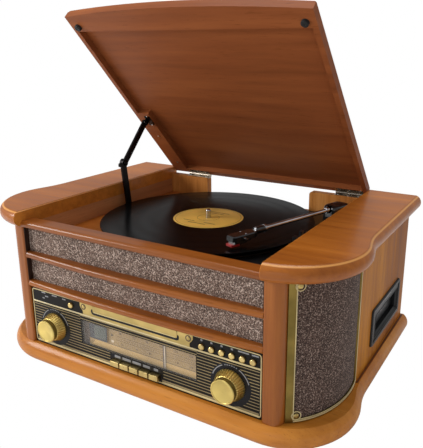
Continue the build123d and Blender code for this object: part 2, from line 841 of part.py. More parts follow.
with BuildPart() as dial_scale:
    with BuildSketch(Plane.XZ.offset(-scale_front)):
        with Locations((middle(window_x), middle(window_z))):
            Rectangle(length(window_x) + 6, length(window_z) + 4)
    extrude(amount=-scale_thickness)
    # display module standing proud of the scale
    with BuildSketch(Plane.XZ.offset(-scale_front)):
        with Locations(display_centre):
            Rectangle(*display_size)
    extrude(amount=2)
    # rail along the top edge on which the pointer slides
    with BuildSketch(Plane.XY.offset(window_z[1] + 2)):
        with Locations((middle(window_x), scale_front + scale_thickness / 2)):
            Rectangle(length(window_x) + 6, scale_thickness)
    extrude(amount=pointer_rail)
    # standoffs to the board behind
    with BuildSketch(Plane.XZ.offset(-scale_front - scale_thickness)):
        with Locations((middle(window_x), middle(window_z))):
            with GridLocations(160, 20, 2, 2):
                Circle(3)
    extrude(amount=-(board_front - scale_front - scale_thickness))
save(dial_scale, "dial_scale")

with BuildPart() as tuning_pointer:
    # plate in front of the scale, hooked over its rail
    with BuildSketch(Plane.YZ.offset(pointer_x - pointer_width / 2)):
        with BuildLine():
            Polyline(
                (pointer_front, window_z[0]),
                (pointer_front, hook_z + 1.4),
                (scale_front + 3.2, hook_z + 1.4),
                (scale_front + 3.2, hook_z - 2.4),
                (scale_front + 1.9, hook_z - 2.4),
                (scale_front + 1.9, hook_z),
                (pointer_front + pointer_plate, hook_z),
                (pointer_front + pointer_plate, window_z[0]),
                close=True,
            )
        make_face()
    extrude(amount=pointer_width)
save(tuning_pointer, "tuning_pointer")


# ---------------------------------------------------------------- controls


knob_gap = 0.4
flute_overrun = 1.5
flute_lean = degrees(atan2(knob_skirt_radius - knob_neck_radius, knob_skirt_length))


def knob(x):
    # turned knob: fluted cone, plain cap with a dished face, and its shaft behind
    rim = knob_cap_radius - knob_rim
    dish_edge = knob_length - 0.6
    dish_radius = (rim**2 + knob_dish**2) / (2 * knob_dish)
    dish_middle = dish_edge - knob_dish + dish_radius - sqrt(dish_radius**2 - (rim / 2) ** 2)
    base = fascia_front - knob_gap
    with BuildPart() as turned:
        with BuildSketch(Plane(origin=(x, base, knob_z), x_dir=(1, 0, 0), z_dir=(0, 0, 1))):
            with BuildLine():
                Polyline(
                    (0, 0),
                    (knob_skirt_radius, 0),
                    (knob_skirt_radius, -1),
                    (knob_neck_radius, -knob_skirt_length),
                    (knob_cap_radius, -knob_skirt_length - 0.6),
                    (knob_cap_radius, -knob_length + 1.4),
                    (knob_cap_radius - 0.5, -knob_length + 0.5),
                    (knob_cap_radius - 1.4, -knob_length),
                    (rim + 0.5, -knob_length),
                    (rim, -dish_edge),
                )
                ThreePointArc((rim, -dish_edge), (rim / 2, -dish_middle), (0, knob_dish - dish_edge))
                Line((0, knob_dish - dish_edge), (0, 0))
            make_face()
        revolve(axis=Axis((x, 0, knob_z), (0, 1, 0)))
        # flutes cut along the cone
        skirt_face = Plane(origin=(x, base, knob_z), x_dir=(1, 0, 0), z_dir=(0, -1, 0))
        flute_start = Plane(origin=(knob_skirt_radius + 0.25, 0, 0)).rotated((0, -flute_lean, 0))
        flute_planes = []
        for spot in PolarLocations(0, knob_flutes):
            flute_planes.append(Plane(skirt_face.location * spot * flute_start.location))
        with BuildSketch(*flute_planes):
            Circle(knob_flute_radius)
        extrude(amount=knob_skirt_length + flute_overrun, mode=Mode.SUBTRACT)
        with BuildSketch(Plane.XZ.offset(-base)):
            with Locations((x, knob_z)):
                Circle(pot_shaft_radius)
        extrude(amount=-(shaft_end - base))
    return turned


for knob_name, x in (("volume_knob", -knob_x), ("tuning_knob", knob_x)):
    save(knob(x), knob_name)


def round_button(x, z):
    with BuildPart() as button:
        with BuildSketch(Plane.XZ.offset(-fascia_front)):
            with Locations((x, z)):
                Circle(button_radius)
        extrude(amount=3)
        fillet(button.faces().sort_by(Axis.Y)[0].edges(), radius=2)
        with BuildSketch(Plane.XZ.offset(-fascia_front)):
            with Locations((x, z)):
                Circle(button_radius)
        extrude(amount=-5)
        with BuildSketch(Plane.XZ.offset(-fascia_front - 5)):
            with Locations((x, z)):
                Circle(button_radius + 1.4)
        extrude(amount=-1.2)
    return button


button_names = ("play", "stop", "previous", "next", "program", "eject")
for index, button_name in enumerate(button_names):
    save(round_button(first_button_x + index * button_pitch, button_z), f"{button_name}_button")
save(round_button(*power_button), "power_button")


def piano_key(x):
    # box-shaped key with softened edges, and the tail that reaches its switch
    with BuildPart() as key:
        with BuildSketch(Plane.XZ.offset(-fascia_front + key_reach)):
            with Locations((x, middle(key_z))):
                Rectangle(key_width, length(key_z))
        extrude(amount=-key_reach - 2)
        fillet(key.faces().sort_by(Axis.Y)[0].edges(), radius=key_edge)
        with BuildSketch(Plane.XZ.offset(-fascia_front - 2)):
            with Locations((x, middle(key_z))):
                Rectangle(key_width - 1, length(key_z) - 2)
        extrude(amount=-(key_tail - fascia_front - 2))
    return key


key_names = ("phono", "tape", "disc", "radio", "aux")
for index, key_name in enumerate(key_names):
    save(piano_key(first_key_x + index * key_pitch), f"{key_name}_key")


with BuildPart() as cd_tray:
    with BuildSketch(Plane.XZ.offset(-fascia_front - 2)):
        with Locations((0, middle(tray_z))):
            RectangleRounded(2 * tray_half, length(tray_z), 2)
    extrude(amount=2.6)
    with BuildSketch(Plane.XY.offset(tray_z[0] + 1)):
        with Locations((0, (fascia_front + 2 + tray_back) / 2)):
            Rectangle(2 * tray_half - 3, tray_back - fascia_front - 2)
    extrude(amount=5.5)
    with BuildSketch(Plane.XY.offset(tray_z[0] + 6.5)):
        with Locations((0, disc_y)):
            Circle(disc_radius)
    extrude(amount=-2.2, mode=Mode.SUBTRACT)
    with BuildSketch(Plane.XY.offset(tray_z[0] + 1)):
        with Locations((0, disc_y + 25)):
            SlotOverall(90, 34, rotation=90)
    extrude(amount=5.5, mode=Mode.SUBTRACT)
save(cd_tray, "cd_tray")

with BuildPart() as speed_selector:
    with BuildSketch(Plane.XY.offset(deck_top - 4)):
        with Locations(selector_point):
            RectangleRounded(7, 3.8, 1)
    extrude(amount=4 + chassis_top - deck_top + 5)
    with BuildSketch(Plane.XY.offset(chassis_top + 0.3)):
        with Locations(selector_point):
            RectangleRounded(10, 8, 2)
    extrude(amount=2)
    with BuildSketch(Plane.XY.offset(deck_top - 4)):
        with Locations(selector_point):
            Rectangle(12, 8)
    extrude(amount=3.6)
save(speed_selector, "speed_selector")


# ---------------------------------------------------------------- cassette deck

with BuildPart() as cassette_bezel:
    with BuildSketch(Plane.YZ.offset(wall_outer)):
        with Locations((middle(bezel_y), middle(bezel_z))):
            RectangleRounded(length(bezel_y), length(bezel_z), 4)
    extrude(amount=bezel_height)
    chamfer(cassette_bezel.faces().sort_by(Axis.X)[-1].edges(), length=1.4)
    with BuildSketch(Plane.YZ.offset(wall_outer)):
        with Locations((middle(bezel_y), middle(bezel_z))):
            RectangleRounded(length(bezel_y) - 2 * bezel_collar, length(bezel_z) - 2 * bezel_collar, 3)
    extrude(amount=-wall_thickness)
    # shallow step inside the rim, then the slot with a flared mouth
    with BuildSketch(Plane.YZ.offset(wall_outer + bezel_height)):
        with Locations((middle(bezel_y), middle(bezel_z))):
            RectangleRounded(length(bezel_y) - 2 * bezel_step, length(bezel_z) - 2 * bezel_step, 2)
    extrude(amount=-1.2, mode=Mode.SUBTRACT)
    with BuildSketch(Plane.YZ.offset(wall_outer + bezel_height - 1.2)):
        with Locations((middle(slot_y), middle(slot_z))):
            RectangleRounded(length(slot_y) + 5, length(slot_z) + 5, 3)
    with BuildSketch(Plane.YZ.offset(wall_outer - 1.5)):
        with Locations((middle(slot_y), middle(slot_z))):
            RectangleRounded(length(slot_y), length(slot_z), 1.5)
    loft(mode=Mode.SUBTRACT)
    with BuildSketch(Plane.YZ.offset(wall_outer - 1.4)):
        with Locations((middle(slot_y), middle(slot_z))):
            RectangleRounded(length(slot_y), length(slot_z), 1.5)
    extrude(amount=-wall_thickness, mode=Mode.SUBTRACT)
save(cassette_bezel, "cassette_bezel")

flap_x = 229.6

with BuildPart() as cassette_flap:
    with BuildSketch(Plane.YZ.offset(flap_x)):
        with Locations((middle(slot_y), middle(slot_z))):
            Rectangle(length(slot_y) - 1, length(slot_z) - 1)
    extrude(amount=1.8)
    fillet(cassette_flap.edges().filter_by(Axis.Y).group_by(Axis.Z)[-1], radius=0.85)
save(cassette_flap, "cassette_flap")

deck_box_start = 162.0
bay_start = 166.0
bay_y = (32.0, 136.0)
bay_z = (60.0, 95.0)
reel_x = 196.0
reel_distance = 42.5

with BuildPart() as cassette_mechanism:
    with BuildSketch(Plane.YZ.offset(deck_box_start)):
        with Locations((middle(deck_box_y), middle(deck_box_z))):
            RectangleRounded(length(deck_box_y), length(deck_box_z), 2)
    extrude(amount=wall_outer - wall_thickness - deck_box_start)
    with BuildSketch(Plane.YZ.offset(bay_start)):
        with Locations((middle(bay_y), middle(bay_z))):
            Rectangle(length(bay_y), length(bay_z))
    extrude(amount=wall_outer - bay_start, mode=Mode.SUBTRACT)
    # tape spindles standing in the bay and the posts under it
    with BuildSketch(Plane.XY.offset(bay_z[0])):
        with Locations((reel_x, middle(bay_y))):
            with GridLocations(1, reel_distance, 1, 2):
                Circle(3.4)
    extrude(amount=8)
    with BuildSketch(Plane.XY.offset(plinth_top)):
        with Locations((reel_x, middle(bay_y))):
            with GridLocations(1, 80, 1, 2):
                Rectangle(14, 10)
    extrude(amount=deck_box_z[0] - plinth_top)
save(cassette_mechanism, "cassette_mechanism")


# ---------------------------------------------------------------- turntable

platter_bottom = record_top - record_thickness - mat_thickness - platter_height

with BuildPart() as platter:
    with BuildSketch(Plane.XZ.offset(-record_y)):
        with BuildLine():
            Polyline(
                (record_x + shaft_radius, platter_bottom + 1),
                (record_x + 14, platter_bottom + 1),
                (record_x + 14, platter_bottom + 3.4),
                (record_x + belt_rim_radius - 4, platter_bottom + 3.4),
                (record_x + belt_rim_radius - 4, platter_bottom + 0.6),
                (record_x + belt_rim_radius, platter_bottom + 0.6),
                (record_x + belt_rim_radius, platter_bottom + 3.4),
                (record_x + platter_radius - 3, platter_bottom + 3.4),
                (record_x + platter_radius - 3, platter_bottom),
                (record_x + platter_radius - 0.8, platter_bottom),
                (record_x + platter_radius, platter_bottom + platter_height - 1),
                (record_x + platter_radius, platter_bottom + platter_height),
                (record_x + shaft_radius, platter_bottom + platter_height),
                close=True,
            )
        make_face()
    revolve(axis=Axis((record_x, record_y, 0), (0, 0, 1)))
    # rubber mat with a recess for the label
    with BuildSketch(Plane.XY.offset(platter_bottom + platter_height)):
        with Locations((record_x, record_y)):
            Circle(platter_radius - 2)
            Circle(shaft_radius, mode=Mode.SUBTRACT)
    extrude(amount=mat_thickness)
save(platter, "platter")

with BuildPart() as vinyl_record:
    with BuildSketch(Plane.XY.offset(record_top - record_thickness)):
        with Locations((record_x, record_y)):
            Circle(record_radius)
            Circle(record_hole, mode=Mode.SUBTRACT)
    extrude(amount=record_thickness)
    chamfer(vinyl_record.edges().filter_by(GeomType.CIRCLE).sort_by(SortBy.RADIUS)[-2:], length=0.5)
save(vinyl_record, "vinyl_record")

with BuildPart() as spindle:
    with BuildSketch(Plane.XY.offset(deck_top - 19)):
        with Locations((record_x, record_y)):
            Circle(shaft_radius)
    extrude(amount=spindle_pin_base - deck_top + 19)
    # centring pin over the record, with a rounded tip
    with BuildSketch(Plane.XY.offset(spindle_pin_base)):
        with Locations((record_x, record_y)):
            Circle(spindle_radius)
    extrude(amount=spindle_top - spindle_pin_base)
    fillet(spindle.faces().sort_by(Axis.Z)[-1].edges(), radius=2.4)
save(spindle, "spindle")

with BuildPart() as motor_pulley:
    with BuildSketch(Plane.XY.offset(belt_z - 0.2)):
        with Locations((pulley_x, pulley_y)):
            Circle(pulley_radius)
    extrude(amount=belt_height + 0.5)
    with BuildSketch(Plane.XY.offset(belt_z - 1.0)):
        with Locations((pulley_x, pulley_y)):
            Circle(pulley_radius + 1.6)
    extrude(amount=0.8)
    # motor shaft with its rotor
    with BuildSketch(Plane.XY.offset(deck_top - motor_shaft_depth)):
        with Locations((pulley_x, pulley_y)):
            Circle(motor_shaft_radius)
    extrude(amount=belt_z - deck_top + motor_shaft_depth)
    with BuildSketch(Plane.XY.offset(rotor_top)):
        with Locations((pulley_x, pulley_y)):
            Circle(rotor_radius)
    extrude(amount=-rotor_length)
save(motor_pulley, "motor_pulley")


# ---------------------------------------------------------------- tonearm
# The arm is laid out along its own axes: local -Y points from the pivot to the stylus.

arm_axis_x = (cos(radians(arm_turn)), sin(radians(arm_turn)), 0)


def arm_plane(height):
    return Plane(origin=(arm_x, arm_y, height), x_dir=arm_axis_x, z_dir=(0, 0, 1))


def across_arm(offset):
    # vertical plane across the arm; local X across, local Y up, extrusion towards the stylus
    level = arm_plane(arm_z)
    return Plane(origin=level.from_local_coords((0, offset, 0)), x_dir=arm_axis_x, z_dir=-level.y_dir)


housing_bottom = deck_top + 9.4
housing_top = 210.8
housing_size = (29.0, 38.0)
gimbal_radius = 1.5
cartridge_depth = 8.2
stylus_depth = 11.2

with BuildPart() as tonearm_housing:
    with BuildSketch(arm_plane(housing_bottom)):
        RectangleRounded(*housing_size, 10)
    extrude(amount=housing_top - housing_bottom, taper=3)
    fillet(tonearm_housing.faces().sort_by(Axis.Z)[-1].edges(), radius=6)
    with BuildSketch(arm_plane(housing_bottom - 14)):
        Circle(arm_pin_radius)
    extrude(amount=15)
    # slot in which the tube rises, and the bore of its cross pin
    with BuildSketch(arm_plane(arm_z - 4.5)):
        with Locations((0, -8)):
            Rectangle(2 * arm_tube_radius + 1.4, 32)
    extrude(amount=9.6, mode=Mode.SUBTRACT)
    with BuildSketch(Plane(origin=(arm_x, arm_y, arm_z), x_dir=(0, 0, 1), z_dir=arm_axis_x)):
        Circle(gimbal_radius + running_fit)
    extrude(amount=9.2, both=True, mode=Mode.SUBTRACT)
save(tonearm_housing, "tonearm_housing")

with BuildPart() as tonearm_tube:
    with BuildSketch(across_arm(6)):
        Circle(arm_tube_radius)
    extrude(amount=arm_length - 42 + 6)
    with BuildSketch(Plane(origin=(arm_x, arm_y, arm_z), x_dir=(0, 0, 1), z_dir=arm_axis_x)):
        Circle(gimbal_radius)
    extrude(amount=9, both=True)
save(tonearm_tube, "tonearm_tube")

with BuildPart() as headshell:
    with BuildSketch(arm_plane(arm_z - 4.6)):
        with BuildLine():
            Polyline(
                (-4.6, -(arm_length - 42)),
                (-8.5, -(arm_length - 34)),
                (-8.0, -(arm_length - 4)),
                (-5.5, -arm_length),
                (5.5, -arm_length),
                (8.0, -(arm_length - 4)),
                (8.5, -(arm_length - 34)),
                (4.6, -(arm_length - 42)),
                close=True,
            )
        make_face()
    extrude(amount=6.4)
    chamfer(headshell.faces().sort_by(Axis.Z)[-1].edges(), length=1.2)
    # socket collar round the end of the tube
    with BuildSketch(across_arm(-(arm_length - 58))):
        Circle(4.6)
        Circle(arm_tube_radius, mode=Mode.SUBTRACT)
    extrude(amount=16)
    with BuildSketch(arm_plane(arm_z - 1.6)):
        with Locations((11.5, -(arm_length - 14))):
            SlotOverall(11, 3.4)
    extrude(amount=1.2)
    # cartridge body and the wedge of the stylus holder
    with BuildSketch(arm_plane(arm_z - 4.6)):
        with Locations((0, -(arm_length - 16))):
            Rectangle(12, 26)
    extrude(amount=4.6 - cartridge_depth)
    with BuildSketch(Plane(origin=(arm_x, arm_y, 0), x_dir=arm_plane(0).y_dir, z_dir=arm_axis_x).offset(-5)):
        with BuildLine():
            Polyline(
                (-(arm_length - 24), arm_z - cartridge_depth),
                (-(arm_length + 1), arm_z - cartridge_depth),
                (-(arm_length + 1), arm_z - cartridge_depth - 1.4),
                (-(arm_length - 4), arm_z - stylus_depth),
                (-(arm_length - 24), arm_z - stylus_depth + 1.6),
                close=True,
            )
        make_face()
    extrude(amount=10)
save(headshell, "headshell")


# ---------------------------------------------------------------- lid
# Lid planes: local X across, local -Y away from the hinge, local Z from the underside to the top.

lid_tilt = radians(lid_angle)
lid_rear_edge = (
    0,
    hinge_y - hinge_setback * cos(lid_tilt),
    hinge_z + hinge_setback * sin(lid_tilt),
)


def lid_plane(depth):
    return Plane(
        origin=lid_rear_edge, x_dir=(1, 0, 0), z_dir=(0, sin(lid_tilt), cos(lid_tilt))
    ).offset(depth)


def lid_edge():
    # bowed front edge, square rear edge
    ThreePointArc((-lid_half, -lid_length), (0, -lid_length - lid_bow), (lid_half, -lid_length))
    Polyline((lid_half, -lid_length), (lid_half, 0), (-lid_half, 0), (-lid_half, -lid_length))


frame_depth = lid_thickness - lid_skin
batten_x = (-lid_half + lid_side_member, -lid_half + lid_side_member + batten_width)

with BuildPart() as lid_frame:
    with BuildSketch(lid_plane(0)):
        with BuildLine():
            lid_edge()
        make_face()
        with Locations((0, -(lid_rear_member + lid_length - lid_front_member) / 2)):
            Rectangle(
                2 * (lid_half - lid_side_member),
                lid_length - lid_front_member - lid_rear_member,
                mode=Mode.SUBTRACT,
            )
    extrude(amount=frame_depth)
    # housings for the hinge leaves in the rear member
    with BuildSketch(lid_plane(0)):
        for start in hinge_starts:
            with Locations((start + 2 * knuckle_width, -lid_leaf_width / 2)):
                Rectangle(4 * knuckle_width, lid_leaf_width)
    extrude(amount=leaf_thickness, mode=Mode.SUBTRACT)
save(lid_frame, "lid_frame")

with BuildPart() as lid_panel:
    with BuildSketch(lid_plane(frame_depth)):
        with BuildLine():
            lid_edge()
        make_face()
        fillet(vertices(), radius=3)
    extrude(amount=lid_skin)
    top_face = lid_panel.faces().sort_by(Axis((0, 0, 0), tuple(lid_plane(0).z_dir)))[-1]
    fillet(top_face.edges(), radius=2.2)
save(lid_panel, "lid_panel")

with BuildPart() as lid_batten:
    with BuildSketch(lid_plane(0)):
        with Locations((middle(batten_x), -(lid_rear_member + batten_end) / 2)):
            Rectangle(length(batten_x), batten_end - lid_rear_member)
    extrude(amount=frame_depth)
save(lid_batten, "lid_batten")

with BuildPart() as lid_bumpers:
    with BuildSketch(lid_plane(0)):
        with Locations((-bumper_x, -bumper_t), (bumper_x, -bumper_t)):
            Circle(bumper_radius)
    extrude(amount=-bumper_height)
    bottom = lid_bumpers.faces().sort_by(Axis((0, 0, 0), tuple(lid_plane(0).z_dir)))[:2]
    fillet(bottom.edges(), radius=1)
save(lid_bumpers, "lid_bumpers")

hinge_axis_plane = Plane(origin=(0, hinge_y, hinge_z), x_dir=(0, 1, 0), z_dir=(1, 0, 0))

with BuildPart() as hinge_cabinet_leaves:
    for start in hinge_starts:
        with BuildSketch(Plane.XY.offset(back_top - leaf_housing)):
            with Locations((start + 2 * knuckle_width, middle(cabinet_leaf_y))):
                Rectangle(4 * knuckle_width, length(cabinet_leaf_y))
        extrude(amount=leaf_housing)
        for knuckle in (1, 3):
            with BuildSketch(hinge_axis_plane.offset(start + knuckle * knuckle_width + 0.2)):
                Circle(knuckle_radius)
                with Locations((0, -knuckle_radius / 2)):
                    Rectangle(2.4, knuckle_radius)
            extrude(amount=knuckle_width - 0.4)
        with BuildSketch(hinge_axis_plane.offset(start - 0.6)):
            Circle(hinge_pin_radius)
        extrude(amount=4 * knuckle_width + 0.4)
save(hinge_cabinet_leaves, "hinge_cabinet_leaves")

with BuildPart() as hinge_lid_leaves:
    for start in hinge_starts:
        with BuildSketch(lid_plane(0)):
            with Locations((start + 2 * knuckle_width, -lid_leaf_width / 2)):
                Rectangle(4 * knuckle_width, lid_leaf_width)
        extrude(amount=leaf_thickness)
        for knuckle in (0, 2):
            left = start + knuckle * knuckle_width + 0.2
            with BuildSketch(lid_plane(0)):
                with Locations((left + (knuckle_width - 0.4) / 2, hinge_setback / 2)):
                    Rectangle(knuckle_width - 0.4, hinge_setback)
            extrude(amount=leaf_thickness)
            with BuildSketch(hinge_axis_plane.offset(left)):
                Circle(knuckle_radius)
            extrude(amount=knuckle_width - 0.4)
            with BuildSketch(hinge_axis_plane.offset(left)):
                Circle(hinge_pin_radius + running_fit)
            extrude(amount=knuckle_width - 0.4, mode=Mode.SUBTRACT)
save(hinge_lid_leaves, "hinge_lid_leaves")


# ---------------------------------------------------------------- folding lid stay


def stay_plane(x):
    return Plane(origin=(x, 0, 0), x_dir=(0, 1, 0), z_dir=(1, 0, 0))


def flat_bar(start, end, width, start_eye, end_eye):
    # flat steel bar between two eyes
    span = Vector(*end) - Vector(*start)
    with Locations((Vector(*start) + Vector(*end)) / 2):
        Rectangle(span.length, width, rotation=degrees(atan2(span.Y, span.X)))
    with Locations(start):
        Circle(start_eye)
    with Locations(end):
        Circle(end_eye)


with BuildPart() as stay_lower_arm:
    with BuildSketch(stay_plane(lower_arm_x)):
        flat_bar(foot_pivot, knee_pivot, lower_arm_width, lower_arm_width / 2, 6.2)
        with Locations(foot_pivot):
            Circle(stay_rivet_radius + running_fit, mode=Mode.SUBTRACT)
    extrude(amount=stay_steel)
    # outer head of the knee rivet
    with BuildSketch(stay_plane(lower_arm_x)):
        with Locations(knee_pivot):
            Circle(3.4)
    extrude(amount=-1)
save(stay_lower_arm, "stay_lower_arm")

with BuildPart() as stay_upper_arm:
    with BuildSketch(stay_plane(upper_arm_x)):
        flat_bar(knee_pivot, lid_pivot, upper_arm_width, 6.2, upper_arm_width / 2)
        # finger lug that releases the knee
        with Locations((knee_pivot[0] - 8, knee_pivot[1] - 2)):
            RectangleRounded(10, 6, 2)
        with Locations(lid_pivot):
            Circle(stay_rivet_radius + running_fit, mode=Mode.SUBTRACT)
    extrude(amount=stay_steel)
    # inner head of the knee rivet
    with BuildSketch(stay_plane(upper_arm_x + stay_steel)):
        with Locations(knee_pivot):
            Circle(3.4)
    extrude(amount=1)
save(stay_upper_arm, "stay_upper_arm")

with BuildPart() as stay_foot_bracket:
    tab_x = lower_arm_x - clearance - tab_steel
    with BuildSketch(stay_plane(tab_x)):
        with Locations((foot_pivot[0], (deck_top + foot_pivot[1]) / 2)):
            Rectangle(11, foot_pivot[1] - deck_top)
        with Locations(foot_pivot):
            Circle(5.5)
    extrude(amount=tab_steel)
    with BuildSketch(Plane.XY.offset(deck_top)):
        with Locations((tab_x - 3, foot_pivot[0])):
            RectangleRounded(9, 22, 1.5)
    extrude(amount=tab_steel)
    with BuildSketch(stay_plane(tab_x)):
        with Locations(foot_pivot):
            Circle(stay_rivet_radius)
    extrude(amount=tab_steel + stay_steel + clearance * 2)
    with BuildSketch(stay_plane(lower_arm_x + stay_steel + clearance)):
        with Locations(foot_pivot):
            Circle(3.2)
    extrude(amount=0.9)
save(stay_foot_bracket, "stay_foot_bracket")

with BuildPart() as stay_lid_bracket:
    lid_tab_x = upper_arm_x + stay_steel + clearance
    pivot_on_lid = lid_plane(0).to_local_coords(Vector(0, *lid_pivot))
    drop = -pivot_on_lid.Z
    tab_plane = Plane(origin=(lid_tab_x, *lid_pivot), x_dir=lid_plane(0).y_dir, z_dir=(1, 0, 0))
    with BuildSketch(tab_plane):
        Circle(4.4)
        with Locations((0, drop / 2)):
            Rectangle(8.8, drop)
    extrude(amount=tab_steel)
    with BuildSketch(lid_plane(0)):
        with Locations((lid_tab_x + 5, pivot_on_lid.Y)):
            RectangleRounded(10, 20, 1.5)
    extrude(amount=-1.4)
    # rivet through the eye of the upper arm
    with BuildSketch(tab_plane):
        Circle(stay_rivet_radius)
    extrude(amount=-(stay_steel + 2 * clearance))
    with BuildSketch(tab_plane.offset(-(stay_steel + 2 * clearance))):
        Circle(3.2)
    extrude(amount=-0.9)
save(stay_lid_bracket, "stay_lid_bracket")
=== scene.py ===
import bpy
import bmesh
import json
from math import atan2, cos, pi, radians, sin, sqrt
from mathutils import Euler, Matrix, Vector


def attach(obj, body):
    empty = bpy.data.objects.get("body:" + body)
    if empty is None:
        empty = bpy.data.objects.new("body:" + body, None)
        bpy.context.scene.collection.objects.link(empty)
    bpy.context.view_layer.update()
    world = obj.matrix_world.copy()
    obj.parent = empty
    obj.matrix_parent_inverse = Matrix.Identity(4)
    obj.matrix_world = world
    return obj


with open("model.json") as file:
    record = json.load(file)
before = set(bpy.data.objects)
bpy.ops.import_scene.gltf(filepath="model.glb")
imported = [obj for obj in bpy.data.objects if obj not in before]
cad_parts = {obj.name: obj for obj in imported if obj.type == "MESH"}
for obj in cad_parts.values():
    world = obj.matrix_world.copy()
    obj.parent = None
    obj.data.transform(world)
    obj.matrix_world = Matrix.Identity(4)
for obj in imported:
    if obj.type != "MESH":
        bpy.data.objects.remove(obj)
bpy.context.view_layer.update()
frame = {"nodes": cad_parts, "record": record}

nodes = frame["nodes"]
mm = 0.001

# camera, floor and lamps
viewSettings = {
    "azimuth": 29.834, "elevation": 16.081, "roll": 0.224,
    "place": (0.4131, -0.6288, 0.42035),
    "lens": 45.27, "sensor": 36.0,
    "shiftX": -0.05956, "shiftY": -0.02577,
}
floorSettings = {"size": 6.0, "colour": (252, 251, 250), "glow": 1.0}
lampSettings = {
    "key": {"place": (-1.45, -1.05, 0.95), "size": 0.7, "power": 21.0},
    "fill": {"place": (0.3, -2.0, 0.35), "size": 1.0, "power": 3.0},
    "top": {"place": (-0.2, 0.1, 2.0), "size": 1.2, "power": 18.0},
    "world": 0.43,
}


def colour(red, green, blue):
    # screen values 0..255 to a linear colour
    linear = []
    for value in (red, green, blue):
        value = value / 255
        linear.append(value / 12.92 if value <= 0.04045 else ((value + 0.055) / 1.055) ** 2.4)
    return (*linear, 1.0)


# material helpers
def newMaterial(name):
    material = bpy.data.materials.new(name)
    material.use_nodes = True
    tree = material.node_tree
    return material, tree, tree.nodes["Principled BSDF"]


def addNode(tree, kind, values=None, **settings):
    made = tree.nodes.new(kind)
    for key, value in settings.items():
        setattr(made, key, value)
    for key, value in (values or {}).items():
        made.inputs[key].default_value = value
    return made


def objectPoint(tree, scale=(1, 1, 1), turn=(0, 0, 0), shift=(0, 0, 0)):
    source = addNode(tree, "ShaderNodeTexCoord")
    mapping = addNode(tree, "ShaderNodeMapping", {"Scale": scale, "Rotation": turn, "Location": shift})
    tree.links.new(source.outputs["Object"], mapping.inputs["Vector"])
    return mapping.outputs["Vector"]


def noise(tree, point, scale, detail=3.0, roughness=0.5, distortion=0.0):
    values = {"Scale": scale, "Detail": detail, "Roughness": roughness, "Distortion": distortion}
    made = addNode(tree, "ShaderNodeTexNoise", values)
    tree.links.new(point, made.inputs["Vector"])
    return made.outputs["Fac"]


def ramp(tree, value, stops):
    made = addNode(tree, "ShaderNodeValToRGB")
    bar = made.color_ramp
    while len(bar.elements) < len(stops):
        bar.elements.new(0.5)
    for element, (position, tone) in zip(bar.elements, stops):
        element.position = position
        element.color = tone
    tree.links.new(value, made.inputs["Fac"])
    return made.outputs["Color"]


def feed(tree, pairs):
    # each socket gets a link or a plain value
    for socket, value in pairs:
        if hasattr(value, "is_output"):
            tree.links.new(value, socket)
        else:
            socket.default_value = value


def setShader(tree, shader, **values):
    names = {
        "base": "Base Color", "rough": "Roughness", "metal": "Metallic", "coat": "Coat Weight",
        "coatRough": "Coat Roughness", "specular": "Specular IOR Level", "alpha": "Alpha",
        "sheen": "Sheen Weight", "sheenRough": "Sheen Roughness", "anisotropic": "Anisotropic",
    }
    feed(tree, [(shader.inputs[names[key]], value) for key, value in values.items()])


def mixColour(tree, factor, first, second, blend="MIX"):
    made = addNode(tree, "ShaderNodeMix", data_type="RGBA", blend_type=blend)
    feed(tree, ((made.inputs[0], factor), (made.inputs[6], first), (made.inputs[7], second)))
    return made.outputs[2]


def mathNode(tree, operation, first, second=0.0):
    made = addNode(tree, "ShaderNodeMath", operation=operation)
    feed(tree, zip(made.inputs, (first, second)))
    return made.outputs[0]


def vectorMath(tree, operation, first, second=(0, 0, 0)):
    made = addNode(tree, "ShaderNodeVectorMath", operation=operation)
    feed(tree, zip(made.inputs, (first, second)))
    return made.outputs


def span(tree, value, low, high, newLow, newHigh):
    made = addNode(tree, "ShaderNodeMapRange", {1: low, 2: high, 3: newLow, 4: newHigh})
    tree.links.new(value, made.inputs[0])
    return made.outputs[0]


def bump(tree, shader, height, strength, distance):
    made = addNode(tree, "ShaderNodeBump", {"Strength": strength, "Distance": distance})
    tree.links.new(height, made.inputs["Height"])
    tree.links.new(made.outputs["Normal"], shader.inputs["Normal"])


def mottle(tree, shader, mask, tone, share):
    # the tone of a finish, darker where the mask is high
    darker = tuple(int(value * share) for value in tone)
    tree.links.new(mixColour(tree, mask, colour(*tone), colour(*darker)), shader.inputs["Base Color"])


# materials
woodSettings = {
    "light": (196, 118, 44), "middle": (172, 96, 28), "dark": (140, 72, 18), "pore": (102, 50, 14),
    "rough": 0.46, "coat": 0.16, "coatRough": 0.14, "specular": 0.28,
    "driftShare": 0.55, "fibreShare": 0.45, "highlightFade": 0.0006, "innerLift": (1.7, 2.1, 3.4, 1.0),
}
rippleSettings = {
    "Scale": 1.0, "Distortion": 5.0, "Detail": 3.0, "Detail Scale": 1.6, "Detail Roughness": 0.5,
}


def axisPart(tree, axis):
    parts = addNode(tree, "ShaderNodeSeparateXYZ")
    tree.links.new(addNode(tree, "ShaderNodeTexCoord").outputs["Object"], parts.inputs[0])
    return parts.outputs["XYZ".index(axis)]


def grainPoint(tree, grain, along, across, turn, upright):
    stretch = tuple(along if axis == grain else across for axis in "XYZ")
    lying = objectPoint(tree, stretch, turn)
    if upright is None:
        return lying
    standing = objectPoint(tree, (across, across, along))
    beyond = mathNode(tree, "GREATER_THAN", mathNode(tree, "ABSOLUTE", axisPart(tree, "X")), upright)
    chosen = addNode(tree, "ShaderNodeMix", data_type="VECTOR")
    for index, value in ((0, beyond), (4, lying), (5, standing)):
        tree.links.new(value, chosen.inputs[index])
    return chosen.outputs[1]


